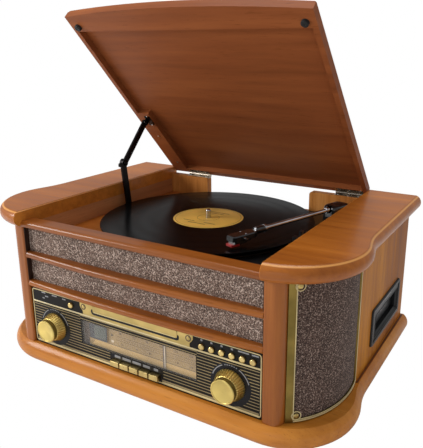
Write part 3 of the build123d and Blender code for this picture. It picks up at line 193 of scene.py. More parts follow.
def makeWood(name, grain, tones=None, figure=0.55, pores=0.35, turn=(0, 0, 0), figureRipple=0.0, coat=None,
             upright=None, edgeHighlightBand=None, innerFace=None):
    # grain is the axis letter that the fibres follow; past the distance called upright they stand instead,
    # the edge band is the height range of a painted highlight, a paler line along a rounded edge, and
    # innerFace the reach of the paler inner faces
    chosen = dict(woodSettings)
    chosen.update(tones or {})
    material, tree, shader = newMaterial(name)
    point = grainPoint(tree, grain, 7.0, 95.0, turn, upright)
    slowPoint = grainPoint(tree, grain, 2.2, 13.0, turn, upright)
    drift = noise(tree, slowPoint, 1.0, 2.0, 0.5, 0.6)
    fibre = noise(tree, point, 1.0, 5.0, 0.62, 0.25)
    fine = noise(tree, point, 6.0, 3.0, 0.6)
    figureValue = mathNode(tree, "ADD", mathNode(tree, "MULTIPLY", drift, chosen["driftShare"]),
                           mathNode(tree, "MULTIPLY", fibre, chosen["fibreShare"]))
    if figureRipple:
        ripple = addNode(tree, "ShaderNodeTexWave", rippleSettings, wave_type="RINGS",
                         rings_direction="SPHERICAL")
        ripplePoint = objectPoint(tree, (3.4, 17.0, 17.0), turn, (0.15, -1.6, 0.0))
        tree.links.new(ripplePoint, ripple.inputs["Vector"])
        wave = mathNode(tree, "SUBTRACT", ripple.outputs["Fac"], 0.5)
        figureValue = mathNode(tree, "ADD", figureValue, mathNode(tree, "MULTIPLY", wave, figureRipple))
    half = 0.5 * figure
    painted = ramp(tree, span(tree, figureValue, 0.5 - half, 0.5 + half, 0.0, 1.0), [
        (0.12, colour(*chosen["dark"])), (0.5, colour(*chosen["middle"])), (0.9, colour(*chosen["light"])),
    ])
    poreMask = span(tree, fine, 0.60, 0.72, 0.0, pores)
    painted = mixColour(tree, poreMask, painted, colour(*chosen["pore"]))
    # painted highlight: heights inside the edge band are painted paler, standing in for the light caught by a
    # rounded edge
    if edgeHighlightBand:
        height, fade = axisPart(tree, "Z"), chosen["highlightFade"]
        rise = span(tree, height, edgeHighlightBand[0] - fade, edgeHighlightBand[0], 0.0, 1.0)
        fall = span(tree, height, edgeHighlightBand[1] - fade, edgeHighlightBand[1], 1.0, 0.0)
        band = mathNode(tree, "MULTIPLY", rise, fall)
        painted = mixColour(tree, band, painted, colour(*chosen["edge"]))
    if innerFace:
        inside = mathNode(tree, "LESS_THAN", mathNode(tree, "ABSOLUTE", axisPart(tree, "X")), innerFace)
        paler = mixColour(tree, 1.0, painted, chosen["innerLift"], "MULTIPLY")
        painted = mixColour(tree, inside, painted, paler)
    gloss = span(tree, fibre, 0.3, 0.7, chosen["rough"] - 0.05, chosen["rough"] + 0.08)
    setShader(tree, shader, base=painted, rough=gloss, coat=chosen["coat"] if coat is None else coat,
              coatRough=chosen["coatRough"], specular=chosen["specular"])
    bump(tree, shader, mathNode(tree, "ADD", fine, fibre), 0.10, 0.0004)
    return material


def makeCloth(name, base, dark, light, grit):
    # speckled grille cloth: dark and pale threads that wander over a brown ground
    material, tree, shader = newMaterial(name)
    point = objectPoint(tree)
    darkThread = noise(tree, point, grit, 1.5, 0.5, 0.5)
    shifted = objectPoint(tree, shift=(0.31, 0.17, 0.23))
    paleThread = noise(tree, shifted, grit * 0.9, 1.5, 0.5, 0.6)
    spark = noise(tree, point, grit * 1.7, 1.0, 0.5)
    soft = noise(tree, point, grit * 0.05, 2.0)
    ground = mixColour(tree, span(tree, soft, 0.3, 0.7, 0.0, 0.3), colour(*base), colour(*dark))
    body = mixColour(tree, span(tree, darkThread, 0.50, 0.58, 0.0, 0.85), ground, colour(*dark))
    body = mixColour(tree, span(tree, paleThread, 0.55, 0.64, 0.0, 0.6), body, colour(*light))
    sparkMask = mathNode(tree, "MULTIPLY", span(tree, spark, 0.62, 0.70, 0.0, 0.8),
                         span(tree, paleThread, 0.48, 0.56, 0.0, 1.0))
    body = mixColour(tree, sparkMask, body, colour(*light))
    threads = []
    for axis in "XZ":
        wave = addNode(tree, "ShaderNodeTexWave", {"Scale": 260.0, "Distortion": 0.6, "Detail": 1.0},
                       wave_type="BANDS", bands_direction=axis)
        tree.links.new(point, wave.inputs["Vector"])
        threads.append(wave.outputs["Fac"])
    weave = mathNode(tree, "ADD", mathNode(tree, "MULTIPLY", threads[0], threads[1]),
                     mathNode(tree, "MULTIPLY", darkThread, 0.9))
    setShader(tree, shader, base=body, rough=0.9, sheen=0.08, sheenRough=0.5, specular=0.15)
    bump(tree, shader, weave, 0.35, 0.0005)
    return material


def makePlastic(name, tone, rough, coat=0.0, grainScale=900.0, grainDepth=0.08, spread=0.18, specular=0.5):
    material, tree, shader = newMaterial(name)
    point = objectPoint(tree)
    grain = noise(tree, point, grainScale, 3.0, 0.6)
    cloud = noise(tree, point, 22.0, 2.0)
    mottle(tree, shader, span(tree, cloud, 0.3, 0.7, 0.0, 1.0), tone, 1 - spread)
    gloss = span(tree, cloud, 0.3, 0.7, rough * 0.9, rough * 1.15)
    setShader(tree, shader, rough=gloss, coat=coat, coatRough=0.08, specular=specular)
    bump(tree, shader, grain, grainDepth, 0.0003)
    return material


def makePrint(name, tone, rough, **more):
    return makePlastic(name, tone, rough, grainDepth=0.02, **more)


def makeMetal(name, tone, rough, brush=None, brushDepth=0.06):
    # brush is the stretch of the polishing marks along the three axes
    material, tree, shader = newMaterial(name)
    point = objectPoint(tree, brush or (260, 260, 260))
    marks = noise(tree, point, 1.0, 4.0, 0.65)
    cloud = noise(tree, objectPoint(tree), 35.0, 2.0)
    mottle(tree, shader, span(tree, cloud, 0.3, 0.7, 0.0, 1.0), tone, 0.8)
    setShader(tree, shader, rough=span(tree, marks, 0.3, 0.7, rough * 0.8, rough * 1.25), metal=1.0)
    bump(tree, shader, marks, brushDepth, 0.0002)
    return material


def makeClear(name, tone, alpha):
    material, tree, shader = newMaterial(name)
    smudge = noise(tree, objectPoint(tree), 14.0, 3.0)
    gloss = span(tree, smudge, 0.3, 0.75, 0.03, 0.12)
    setShader(tree, shader, base=colour(*tone), rough=gloss, alpha=alpha, specular=0.5, coat=0.4,
              coatRough=0.03)
    return material


def turnedTangent(tree, shader, centre, axis):
    # the brush marks run round an axis, so lamps draw wedges of light; gives the distance from the axis back
    source = addNode(tree, "ShaderNodeTexCoord")
    offset = vectorMath(tree, "SUBTRACT", source.outputs["Object"], centre)[0]
    around = vectorMath(tree, "CROSS_PRODUCT", axis, offset)[0]
    turned = addNode(tree, "ShaderNodeVectorTransform", vector_type="VECTOR", convert_from="OBJECT",
                     convert_to="WORLD")
    tree.links.new(around, turned.inputs[0])
    tree.links.new(turned.outputs[0], shader.inputs["Tangent"])
    return vectorMath(tree, "LENGTH", around)["Value"]


def makeVinyl(name, tone, centre):
    # fine grooves with a slightly different sheen from track to track
    material, tree, shader = newMaterial(name)
    reach = turnedTangent(tree, shader, centre, (0, 0, 1))
    groove = mathNode(tree, "SINE", mathNode(tree, "MULTIPLY", reach, 5200.0))
    tracks = mathNode(tree, "SINE", mathNode(tree, "MULTIPLY", reach, 260.0))
    mottle(tree, shader, span(tree, tracks, -0.3, 0.9, 0.0, 1.0), tone, 0.6)
    gloss = span(tree, tracks, -1.0, 1.0, 0.22, 0.25)
    setShader(tree, shader, rough=gloss, anisotropic=0.7, specular=0.09)
    bump(tree, shader, groove, 0.04, 0.0001)
    return material


def makeTurned(name, tone, rough, centre, axis):
    # spun metal: rings cut by the lathe and a conic glint
    material, tree, shader = newMaterial(name)
    reach = turnedTangent(tree, shader, centre, axis)
    cut = mathNode(tree, "SINE", mathNode(tree, "MULTIPLY", reach, 9000.0))
    cloud = noise(tree, objectPoint(tree), 30.0, 2.0)
    mottle(tree, shader, span(tree, cloud, 0.3, 0.7, 0.0, 1.0), tone, 0.86)
    setShader(tree, shader, metal=1.0, rough=rough, anisotropic=0.75)
    bump(tree, shader, cut, 0.05, 0.0001)
    return material


recordCentre = (-0.007, 0.0184, 0.0)
knobCentre = (0.135, 0.0655)

print("materials")
woodX = makeWood("lacquered wood, grain across", "X")
woodY = makeWood("lacquered wood, grain front to back", "Y", {
    "light": (216, 156, 104), "middle": (194, 134, 86), "dark": (164, 108, 66)})
woodZ = makeWood("lacquered wood, grain upright", "Z", {
    "light": (204, 134, 46), "middle": (168, 100, 24), "dark": (134, 74, 16), "specular": 0.08}, figure=0.42,
    pores=0.5, coat=0.02)
# the shoulder caps carry a painted highlight: a paler band of heights along the rounded top edge
capWood = makeWood("lacquered wood, shoulder caps", "X", {
    "light": (188, 112, 36), "middle": (164, 92, 24), "dark": (132, 68, 16), "edge": (216, 150, 78),
    "coatRough": 0.2, "specular": 0.16}, coat=0.4, edgeHighlightBand=(0.2194, 0.2207), innerFace=0.1773)
backWood = makeWood("lacquered wood, back panel", "Z", {
    "light": (220, 156, 88), "middle": (192, 124, 60), "dark": (158, 96, 42), "specular": 0.1},
    figure=0.42, coat=0.02)
lidWood = makeWood("lid wood", "X", {
    "light": (166, 98, 54), "middle": (142, 80, 44), "dark": (112, 60, 33), "specular": 0.1},
    figure=0.8, pores=0.5, turn=(radians(-46.2), 0, 0), figureRipple=0.07, coat=0.04)
frameWood = makeWood("lacquered wood, front frame", "X", {
    "light": (170, 100, 36), "middle": (146, 80, 23), "dark": (116, 60, 15), "specular": 0.13},
    figure=0.5, coat=0.42, upright=0.1755)
plinthWood = makeWood("lacquered wood, plinth", "X", {
    "light": (222, 150, 60), "middle": (198, 124, 42), "dark": (164, 94, 28), "specular": 0.16,
    "coatRough": 0.2}, figure=0.7, coat=0.35)
armChrome = makeMetal("dark chrome tube", (226, 226, 230), 0.14)
slots = {
    "cabinet_wood": woodX,
    "lid_wood": lidWood,
    "inner_board": makePlastic("bare chipboard", (150, 112, 70), 0.8, grainDepth=0.4, specular=0.2),
    "speaker_cloth": makeCloth("speckled grille cloth", (90, 70, 62), (22, 15, 13), (190, 166, 152), 780.0),
    "gold_trim": makeMetal("satin gold trim", (146, 124, 66), 0.40),
    "fascia_black": makePrint("black fascia", (24, 21, 19), 0.42, specular=0.14),
    "black_plastic": makePlastic("black plastic", (25, 26, 28), 0.38, specular=0.35),
    "dial_clear": makeClear("clear dial window", (235, 230, 220), 0.06),
    "dial_print": makePrint("dial print", (176, 146, 98), 0.55, specular=0.3),
    "pointer": makePrint("pointer", (176, 164, 152), 0.35),
    "knob_gold": makeMetal("knob gold", (214, 186, 108), 0.34),
    "button_gold": makeMetal("button gold", (224, 198, 132), 0.32),
    "rubber": makePlastic("rubber", (24, 24, 24), 0.75, grainDepth=0.3),
    "record_vinyl": makeVinyl("record vinyl", (7, 7, 8), recordCentre),
    "platter_black": makePlastic("platter", (24, 24, 25), 0.5),
    "steel": makeMetal("polished steel", (206, 206, 208), 0.16),
    "black_steel": makeMetal("black steel", (44, 42, 42), 0.34),
    "hinge_steel": makeMetal("nickel hinge", (176, 166, 152), 0.26),
    "arm_black": makePlastic("tonearm black", (22, 22, 24), 0.22, coat=0.5, grainDepth=0.03),
    "circuit_board": makePlastic("circuit board", (30, 84, 52), 0.45),
    "motor_steel": makeMetal("motor steel", (150, 150, 152), 0.4),
}
frontCloth = makeCloth("speckled front cloth", (130, 107, 95), (22, 15, 12), (232, 210, 194), 720.0)
edgeGold = makePrint("bright gold line", (224, 204, 148), 0.34, coat=0.3)
plateGold = makeMetal("brushed gold plate", (206, 180, 114), 0.38, brush=(30, 600, 600), brushDepth=0.06)
stripeGold = makePrint("printed gold stripe", (160, 140, 96), 0.45)
discBlack = makePrint("knob field", (18, 18, 24), 0.36, specular=0.2)
silverMark = makePrint("silver print", (150, 150, 152), 0.4)
# brown print for the dial, also used as painted shade round the door ornaments and beside the tuning pointer
brownPrintAndShade = makePrint("brown dial print and painted shade", (84, 64, 54), 0.5)
creamPrint = makePrint("pale dial print", (224, 206, 178), 0.5)
goldPrint = makePrint("golden dial band", (214, 176, 112), 0.5)
screenGrey = makePlastic("display glass", (92, 98, 92), 0.3, grainDepth=0.01, specular=0.3)
screenFrame = makePrint("display frame", (56, 58, 66), 0.35, specular=0.3)
labelGold = makePlastic("record label", (255, 204, 96), 0.5, grainDepth=0.06)
labelInk = makePlastic("label ink", (92, 62, 26), 0.6, grainDepth=0.05)
redPlastic = makePrint("red stylus holder", (176, 28, 26), 0.3, coat=0.3)
whitePlastic = makePrint("white plastic ring", (214, 212, 206), 0.4)
revealBrown = makeWood("dark edge of the columns", "Z", {
    "light": (62, 34, 20), "middle": (46, 24, 15), "dark": (32, 17, 11)})
footBrown = makeWood("shadowed foot of the side walls", "Y", {
    "light": (112, 64, 30), "middle": (92, 50, 22), "dark": (70, 38, 18)})
rimGlint = makePrint("pale bezel highlight", (120, 120, 124), 0.3)

# every CAD node takes its slot's finish
for part in frame["record"]["subparts"]:
    piece = nodes[part["node"]]
    piece.data.materials.clear()
    piece.data.materials.append(slots[part["material_slot"]])
ownFinish = {
    "side_walls": woodZ, "back_panel": backWood, "inner_walls": woodY, "front_frame": frameWood,
    "base_plinth": plinthWood, "front_grille_panels": frontCloth, "tonearm_tube": armChrome,
    "shoulder_caps": capWood,
}
for name, side in (("volume_knob", -1), ("tuning_knob", 1)):
    centre = (side * knobCentre[0], 0, knobCentre[1])
    ownFinish[name] = makeTurned(f"spun gold, {name.split('_')[0]}", (236, 210, 126), 0.38, centre, (0, 1, 0))
for name, material in ownFinish.items():
    nodes[name].data.materials[0] = material


# geometry helpers: shapes are (points, faces) in millimetres
def joinShapes(shapes):
    points, faces = [], []
    for shapePoints, shapeFaces in shapes:
        start = len(points)
        points.extend(shapePoints)
        faces.extend([tuple(start + index for index in face) for face in shapeFaces])
    return points, faces


def makeMesh(name, shape):
    points, faces = shape
    data = bpy.data.meshes.new(name)
    data.from_pydata([Vector(point) * mm for point in points], [], faces)
    work = bmesh.new()
    work.from_mesh(data)
    bmesh.ops.remove_doubles(work, verts=work.verts, dist=1e-7)
    bmesh.ops.recalc_face_normals(work, faces=work.faces)
    work.to_mesh(data)
    work.free()
    data.polygons.foreach_set("use_smooth", [True] * len(data.polygons))
    data.set_sharp_from_angle(angle=radians(35))
    return data


def placePiece(name, data, body):
    piece = bpy.data.objects.new(name, data)
    bpy.context.scene.collection.objects.link(piece)
    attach(piece, body)


def makePiece(name, body, shapes, slot, material=None):
    # a piece has its slot's finish unless it is given one of its own
    data = makeMesh(name, joinShapes(shapes))
    data.materials.append(material or slots[slot])
    placePiece(name, data, body)


softBead = ((-0.5, -0.2), (-0.5, 0.45), (-0.38, 0.84), (-0.16, 1.0), (0.16, 1.0), (0.38, 0.84), (0.5, 0.45),
            (0.5, -0.2))
groove = ((-0.5, -0.2), (-0.5, 0.8), (-0.36, 1.0), (0.36, 1.0), (0.5, 0.8), (0.5, -0.2))


def strip(path, outward, width, height, closed=False, profile=softBead):
    # ribbon laid on a surface: outward is one normal, or one for each point
    path = [Vector(point) for point in path]
    count = len(path)
    normals = [Vector(outward)] * count if len(outward) == 3 and not hasattr(outward[0], "__len__") else [
        Vector(normal) for normal in outward]
    points, faces = [], []
    for index, point in enumerate(path):
        before = path[index - 1] if closed or index > 0 else None
        after = path[(index + 1) % count] if closed or index < count - 1 else None
        first = (point - before).normalized() if before is not None else None
        second = (after - point).normalized() if after is not None else None
        tangent = ((first or second) + (second or first)).normalized()
        normal = (normals[index] - tangent * normals[index].dot(tangent)).normalized()
        side = tangent.cross(normal)
        mitre = 1.0
        if first is not None and second is not None:
            mitre = 1 / max(0.5, sqrt(max(0.0, (1 + first.dot(second)) / 2)))
        for across, up in profile:
            points.append(tuple(point + side * (across * width * mitre) + normal * (up * height)))
    size = len(profile)
    rings = count if closed else count - 1
    for index in range(rings):
        ring, following = index * size, ((index + 1) % count) * size
        for corner in range(size):
            further = (corner + 1) % size
            faces.append((ring + corner, ring + further, following + further, following + corner))
    if not closed:
        faces.append(tuple(range(size)))
        faces.append(tuple(range((count - 1) * size, count * size)))
    return points, faces


def crossAxes(axis):
    # an axis with two directions square to it
    axis = Vector(axis).normalized()
    helper = Vector((0, 0, 1)) if abs(axis.z) < 0.9 else Vector((1, 0, 0))
    across = axis.cross(helper).normalized()
    return axis, across, axis.cross(across)


def lathe(centre, axis, profile, segments=40):
    # profile of (radius, height) pairs turned about an axis; a zero radius closes the shape
    axis, across, other = crossAxes(axis)
    centre = Vector(centre)
    points, faces, rings = [], [], []
    for radius, height in profile:
        if radius == 0:
            rings.append([len(points)])
            points.append(tuple(centre + axis * height))
            continue
        ring = []
        for step in range(segments):
            turn = 2 * pi * step / segments
            ring.append(len(points))
            points.append(tuple(centre + axis * height + (across * cos(turn) + other * sin(turn)) * radius))
        rings.append(ring)
    if profile[0] == profile[-1]:
        rings[-1] = rings[0]
    for low, high in zip(rings, rings[1:]):
        for step in range(segments):
            further = (step + 1) % segments
            corners = [low[step % len(low)], low[further % len(low)],
                       high[further % len(high)], high[step % len(high)]]
            faces.append(tuple(dict.fromkeys(corners)))
    return points, faces


def ringShape(centre, axis, inner, outer, height, edge=0.15, segments=48):
    profile = [(inner, -0.1), (inner, height - edge), (inner + edge, height), (outer - edge, height),
               (outer, height - edge), (outer, -0.1), (inner, -0.1)]
    return lathe(centre, axis, profile, segments)


def discShape(centre, axis, radius, height, edge=0.15, segments=40):
    profile = [(0, -0.1), (radius, -0.1), (radius, height - edge), (radius - edge, height), (0, height)]
    return lathe(centre, axis, profile, segments)


def domeShape(centre, axis, radius, height, segments=24):
    profile = [(0, -0.1), (radius, -0.1)]
    for step in range(5):
        turn = pi / 2 * step / 5
        profile.append((radius * cos(turn), height * sin(turn)))
    profile.append((0, height))
    return lathe(centre, axis, profile, segments)


def plateShape(outline, origin, across, up, height, edge=0.2):
    # flat plate with a chamfered rim: outline in the plane of across and up
    origin, across, up = Vector(origin), Vector(across), Vector(up)
    outward = across.cross(up)
    count = len(outline)
    pairs = list(zip(outline[-1:] + outline[:-1], outline))
    area = sum(before[0] * after[1] - after[0] * before[1] for before, after in pairs)
    corners = outline if area > 0 else outline[::-1]
    insets = []
    for index in range(count):
        point = Vector(corners[index])
        first = (point - Vector(corners[index - 1])).normalized()
        second = (Vector(corners[(index + 1) % count]) - point).normalized()
        firstNormal, secondNormal = Vector((-first.y, first.x)), Vector((-second.y, second.x))
        joint = (firstNormal + secondNormal).normalized()
        insets.append(point + joint * edge / max(0.4, joint.dot(firstNormal)))
    points, faces = [], []
    for layer, level in ((corners, -0.1), (corners, height - edge), (insets, height)):
        for point in layer:
            points.append(tuple(origin + across * point[0] + up * point[1] + outward * level))
    for ring in (0, count):
        for index in range(count):
            further = (index + 1) % count
            faces.append((ring + index, ring + further, ring + count + further, ring + count + index))
    faces.append(tuple(range(count)))
    faces.append(tuple(range(2 * count, 3 * count)))
    return points, faces


def roundedOutline(low, high, radius, steps=4):
    outline = []
    left, right, bottom, top = low[0] + radius, high[0] - radius, low[1] + radius, high[1] - radius
    corners = ((right, top, 0), (left, top, 90), (left, bottom, 180), (right, bottom, 270))
    for centreX, centreY, start in corners:
        for step in range(steps + 1):
            turn = radians(start + 90 * step / steps)
            outline.append((centreX + radius * cos(turn), centreY + radius * sin(turn)))
    return outline


def arcPoints(centre, radius, start, end, steps=20):
    turns = [radians(start + (end - start) * step / steps) for step in range(steps + 1)]
    return [(centre[0] + radius * cos(turn), centre[1] + radius * sin(turn)) for turn in turns]


# the front plane faces -Y: across is +X, up is +Z
frontAcross, frontUp, frontOut = (1, 0, 0), (0, 0, 1), (0, -1, 0)


def frontPlate(low, high, y, height, radius=0.6, edge=0.15):
    return plateShape(roundedOutline(low, high, radius), (0, y, 0), frontAcross, frontUp, height, edge)


def screwShape(centre, axis, radius, height=0.8):
    # domed head with a cross recess drawn by two sunk bars
    axis, across, other = crossAxes(axis)
    dome = [(0, -0.1), (radius, -0.1), (radius, height * 0.35), (radius * 0.8, height * 0.8),
            (radius * 0.45, height), (0, height)]
    shapes = [lathe(centre, axis, dome, 24)]
    top = Vector(centre) + axis * height * 0.98
    for direction in (across, other):
        ends = [tuple(top - direction * radius * 0.55), tuple(top + direction * radius * 0.55)]
        shapes.append(strip(ends, tuple(axis), radius * 0.22, 0.12, profile=groove))
    return shapes


def screwShapes(places, axis, radius, height):
    shapes = []
    for place in places:
        shapes.extend(screwShape(place, axis, radius, height))
    return shapes


rowInputs = {
    "Count": "NodeSocketInt", "Step": "NodeSocketVector", "Shape": "NodeSocketObject",
    "Finish": "NodeSocketMaterial",
}
rowNodes = {
    "entry": "NodeGroupInput", "leave": "NodeGroupOutput", "line": "GeometryNodeMeshLine",
    "info": "GeometryNodeObjectInfo", "copies": "GeometryNodeInstanceOnPoints",
    "real": "GeometryNodeRealizeInstances", "finish": "GeometryNodeSetMaterial",
}
rowLinks = (
    ("entry", "Count", "line", "Count"), ("entry", "Step", "line", "Offset"),
    ("entry", "Shape", "info", "Object"), ("line", "Mesh", "copies", "Points"),
    ("info", "Geometry", "copies", "Instance"), ("copies", "Instances", "real", "Geometry"),
    ("real", "Geometry", "finish", "Geometry"), ("entry", "Finish", "finish", "Material"),
    ("finish", "Geometry", "leave", "Geometry"),
)


def repeatPiece(name, body, shape, count, step, material):
    # copies of one small shape along a line, laid out by Geometry Nodes and kept as a plain mesh
    template = bpy.data.objects.new(name + "_template", makeMesh(name + "_template", shape))
    holder = bpy.data.objects.new(name + "_holder", bpy.data.meshes.new(name + "_holder"))
    tree = bpy.data.node_groups.new(name + "_rows", "GeometryNodeTree")
    for way in ("INPUT", "OUTPUT"):
        tree.interface.new_socket("Geometry", in_out=way, socket_type="NodeSocketGeometry")
    made = {key: tree.nodes.new(kind) for key, kind in rowNodes.items()}
    modifier = holder.modifiers.new("rows", "NODES")
    sockets = {label: tree.interface.new_socket(label, in_out="INPUT", socket_type=kind).identifier
               for label, kind in rowInputs.items()}
    for start, output, end, entry in rowLinks:
        tree.links.new(made[start].outputs[output], made[end].inputs[entry])
    modifier.node_group = tree
    for label, value in zip(rowInputs, (count, tuple(Vector(step) * mm), template, material)):
        modifier[sockets[label]] = value
    for extra in (template, holder):
        bpy.context.scene.collection.objects.link(extra)
    holder.update_tag()
    bpy.context.view_layer.update()
    graph = bpy.context.evaluated_depsgraph_get()
    data = bpy.data.meshes.new_from_object(holder.evaluated_get(graph), depsgraph=graph)
    for extra in (holder, template):
        bpy.data.objects.remove(extra, do_unlink=True)
    data.name = name
    placePiece(name, data, body)


def textShape(words, centre, height, y):
    # raised figures on the front plane, as (points, faces)
    curve = bpy.data.curves.new("figures", "FONT")
    curve.body = words
    curve.size = height * 1.35
    curve.align_x = "CENTER"
    curve.align_y = "CENTER"
    curve.extrude = 0.06
    curve.resolution_u = 2
    holder = bpy.data.objects.new("figures", curve)
    bpy.context.scene.collection.objects.link(holder)
    bpy.context.view_layer.update()
    graph = bpy.context.evaluated_depsgraph_get()
    data = bpy.data.meshes.new_from_object(holder.evaluated_get(graph), depsgraph=graph)
    places = [vertex.co for vertex in data.vertices]
    points = [(place.x + centre[0], y - place.z - 0.03, place.y + centre[1]) for place in places]
    faces = [tuple(face.vertices) for face in data.polygons]
    bpy.data.objects.remove(holder, do_unlink=True)
    bpy.data.meshes.remove(data)
    return points, faces


# fascia trim
fasciaSettings = {
    "front": -160.5, "left": -172.8, "right": 173.4, "low": 37.0, "high": 113.0, "line": 1.3, "corner": 3.0,
    "divider": 95.9, "dividerLine": 2.1, "footLine": 1.9, "footGap": (-38.5, 41.0),
    "stripePitch": 3.9, "stripeTop": 92.2, "stripeLow": 53.2, "stripeWidth": 0.95,
    "outerRows": 13, "lowRows": 3, "topRows": 2, "windowSides": (-88.2, 91.2), "keySides": (-40.5, 43.0),
    "knobX": 135.0, "knobShift": 0.8, "knobZ": 65.5, "fieldRadius": 26.0, "arcRadius": 24.2,
    "longArcs": ((18, 64), (116, 162)), "dashes": (70, 77, 84, 91, 98, 105), "dashAngle": 4,
}


def fasciaTrim():
    s = fasciaSettings
    y, left, right, low = s["front"], s["left"], s["right"], s["low"]
    outline = roundedOutline((left, low), (right, s["high"]), s["corner"])
    shapes = [strip([(x, y, z) for x, z in outline], frontOut, s["line"], 0.5, closed=True)]
    divider = [(left + 0.7, y, s["divider"]), (right - 0.7, y, s["divider"])]
    shapes.append(strip(divider, frontOut, s["dividerLine"], 0.7))
    feet = {"left": (left + 2, s["footGap"][0]), "right": (s["footGap"][1], right - 2)}
    for start, end in feet.values():
        shapes.append(strip([(start, y, low + 1.1), (end, y, low + 1.1)], frontOut, s["footLine"], 0.45))
    makePiece("fascia_gold_lines", "cabinet", shapes, "gold_trim", edgeGold)
    for name, (start, end) in feet.items():
        band = frontPlate((start, low + 2.6), (end, low + 4.6), y, 0.18, 0.5, 0.05)
        makePiece(f"fascia_low_band_{name}", "cabinet", [band], "gold_trim", stripeGold)
    (windowLeft, windowRight), (keyLeft, keyRight) = s["windowSides"], s["keySides"]
    rows = (
        ("stripes_left", left + 1.6, windowLeft, s["stripeTop"], s["outerRows"]),
        ("stripes_right", windowRight, right - 1.6, s["stripeTop"], s["outerRows"]),
        ("stripes_low_left", windowLeft, keyLeft, s["stripeLow"], s["lowRows"]),
        ("stripes_low_right", keyRight, windowRight, s["stripeLow"], s["lowRows"]),
        ("stripes_top", windowLeft, windowRight, s["stripeTop"] + 1.6, s["topRows"]),
    )
    for name, start, end, top, count in rows:
        bar = strip([(start, y, top), (end, y, top)], frontOut, s["stripeWidth"], 0.16, profile=groove)
        repeatPiece(name, "cabinet", bar, count, (0, 0, -s["stripePitch"]), stripeGold)
    fields, arcs = [], []
    for side in (-1, 1):
        centre = (side * s["knobX"] + s["knobShift"], s["knobZ"])
        fields.append(ringShape((centre[0], y, centre[1]), frontOut, 6.0, s["fieldRadius"], 0.3, 0.1, 72))
        for start, end in s["longArcs"]:
            arc = [(x, y - 0.28, z) for x, z in arcPoints(centre, s["arcRadius"], start, end)]
            arcs.append(strip(arc, frontOut, 1.2, 0.22))
        for start in s["dashes"]:
            dash = arcPoints(centre, s["arcRadius"], start, start + s["dashAngle"], 4)
            arcs.append(strip([(x, y - 0.28, z) for x, z in dash], frontOut, 1.0, 0.15))
    makePiece("knob_fields", "cabinet", fields, "fascia_black", discBlack)
    makePiece("knob_arcs", "cabinet", arcs, "gold_trim", silverMark)


doorSettings = {
    "low": 97.2, "high": 112.6, "middleLow": 101.4, "half": 67.0, "height": 0.6,
    "ornamentX": 80.4, "ornamentZ": 107.6, "ornamentRadius": 2.7, "ringRadius": 3.9,
    "gapWidth": 2.7, "gapHeight": 0.8,
    "trayFront": -161.1, "trayHalf": 64.8, "trayLow": 103.2, "trayHigh": 112.7,
}


def discDoorTrim():
    s = doorSettings
    y, low, high = fasciaSettings["front"], s["low"], s["high"]
    left = [(-82.0, low), (-s["half"], low), (-s["half"], 107.2), (-65.1, 107.4), (-65.1, high),
            (-86.6, high), (-86.6, 107.6), (-84.6, 104.6), (-82.6, 102.6), (-82.0, 101.0)]
    right = [(-x, z) for x, z in left[::-1]]
    plates = [plateShape(side, (0, y, 0), frontAcross, frontUp, s["height"]) for side in (left, right)]
    plates.append(frontPlate((-67.1, low), (67.1, s["middleLow"]), y, s["height"], 0.3, 0.1))
    makePiece("disc_door_plate", "cabinet", plates, "gold_trim", plateGold)
    # painted shadow: a dark outline along the ends and the bottom of the door stands for the shade in the gap
    # there
    slot = [(-65.9, y, 107.2), (-66.3, y, 104.4), (-65.6, y, 102.6), (-64.0, y, 101.8)]
    slot += [(-x, y, z) for x, y, z in slot[::-1]]
    gap = strip(slot, frontOut, s["gapWidth"], s["gapHeight"], profile=groove)
    makePiece("disc_door_gap", "cabinet", [gap], "fascia_black", discBlack)
    # painted shadow: dark rings round the ornament domes stand for the shade in the recess around each dome
    ornaments, shadowRings = [], []
    for side in (-1, 1):
        place = (side * s["ornamentX"], y - s["height"], s["ornamentZ"])
        shadowRings.append(ringShape(place, frontOut, s["ornamentRadius"], s["ringRadius"], 0.3, 0.12, 32))
        ornaments.append(domeShape(place, frontOut, s["ornamentRadius"], 1.1, 28))
    makePiece("door_ornament_rings", "cabinet", shadowRings, "gold_trim", brownPrintAndShade)
    makePiece("door_ornaments", "cabinet", ornaments, "gold_trim", plateGold)
    front, half = s["trayFront"], s["trayHalf"]
    face = frontPlate((-half, s["trayLow"]), (half, s["trayHigh"]), front, 0.4, 1.8, 0.3)
    makePiece("tray_front_plate", "cd_tray", [face], "gold_trim", plateGold)
    # painted highlight: a bright line along the lower edge of the tray front stands for the light caught on
    # that edge
    ends = [(side * 62.6, front - 0.38, s["trayLow"] + 1.0) for side in (-1, 1)]
    makePiece("tray_front_lip", "cd_tray", [strip(ends, frontOut, 0.8, 0.3)], "gold_trim", edgeGold)


markSettings = {
    "buttonX": 98.3, "buttonPitch": 13.1, "buttonMarks": 4,
    "longMarks": ((145.0, 158.6), (161.8, 170.6)), "longHeights": (109.2, 110.9),
    "leftMarks": ((-156.0, 110.6, 7.0), (-150.0, 106.2, 6.0), (-155.0, 103.0, 4.0), (-137.0, 110.2, 9.0),
                  (-118.0, 109.4, 6.0)),
    "keyField": ((-37.5, 49.2), (39.0, 54.6)), "keyHeights": (50.3, 53.7),
    "keyMarks": ((-32.6, -23.4), (-20.0, -7.0), (-4.2, 9.0), (12.4, 23.0), (28.8, 35.2)),
    "keyGaps": 6, "keyGapX": -36.8, "keyPitch": 15.2, "keyGapHeights": (41.2, 46.8),
}


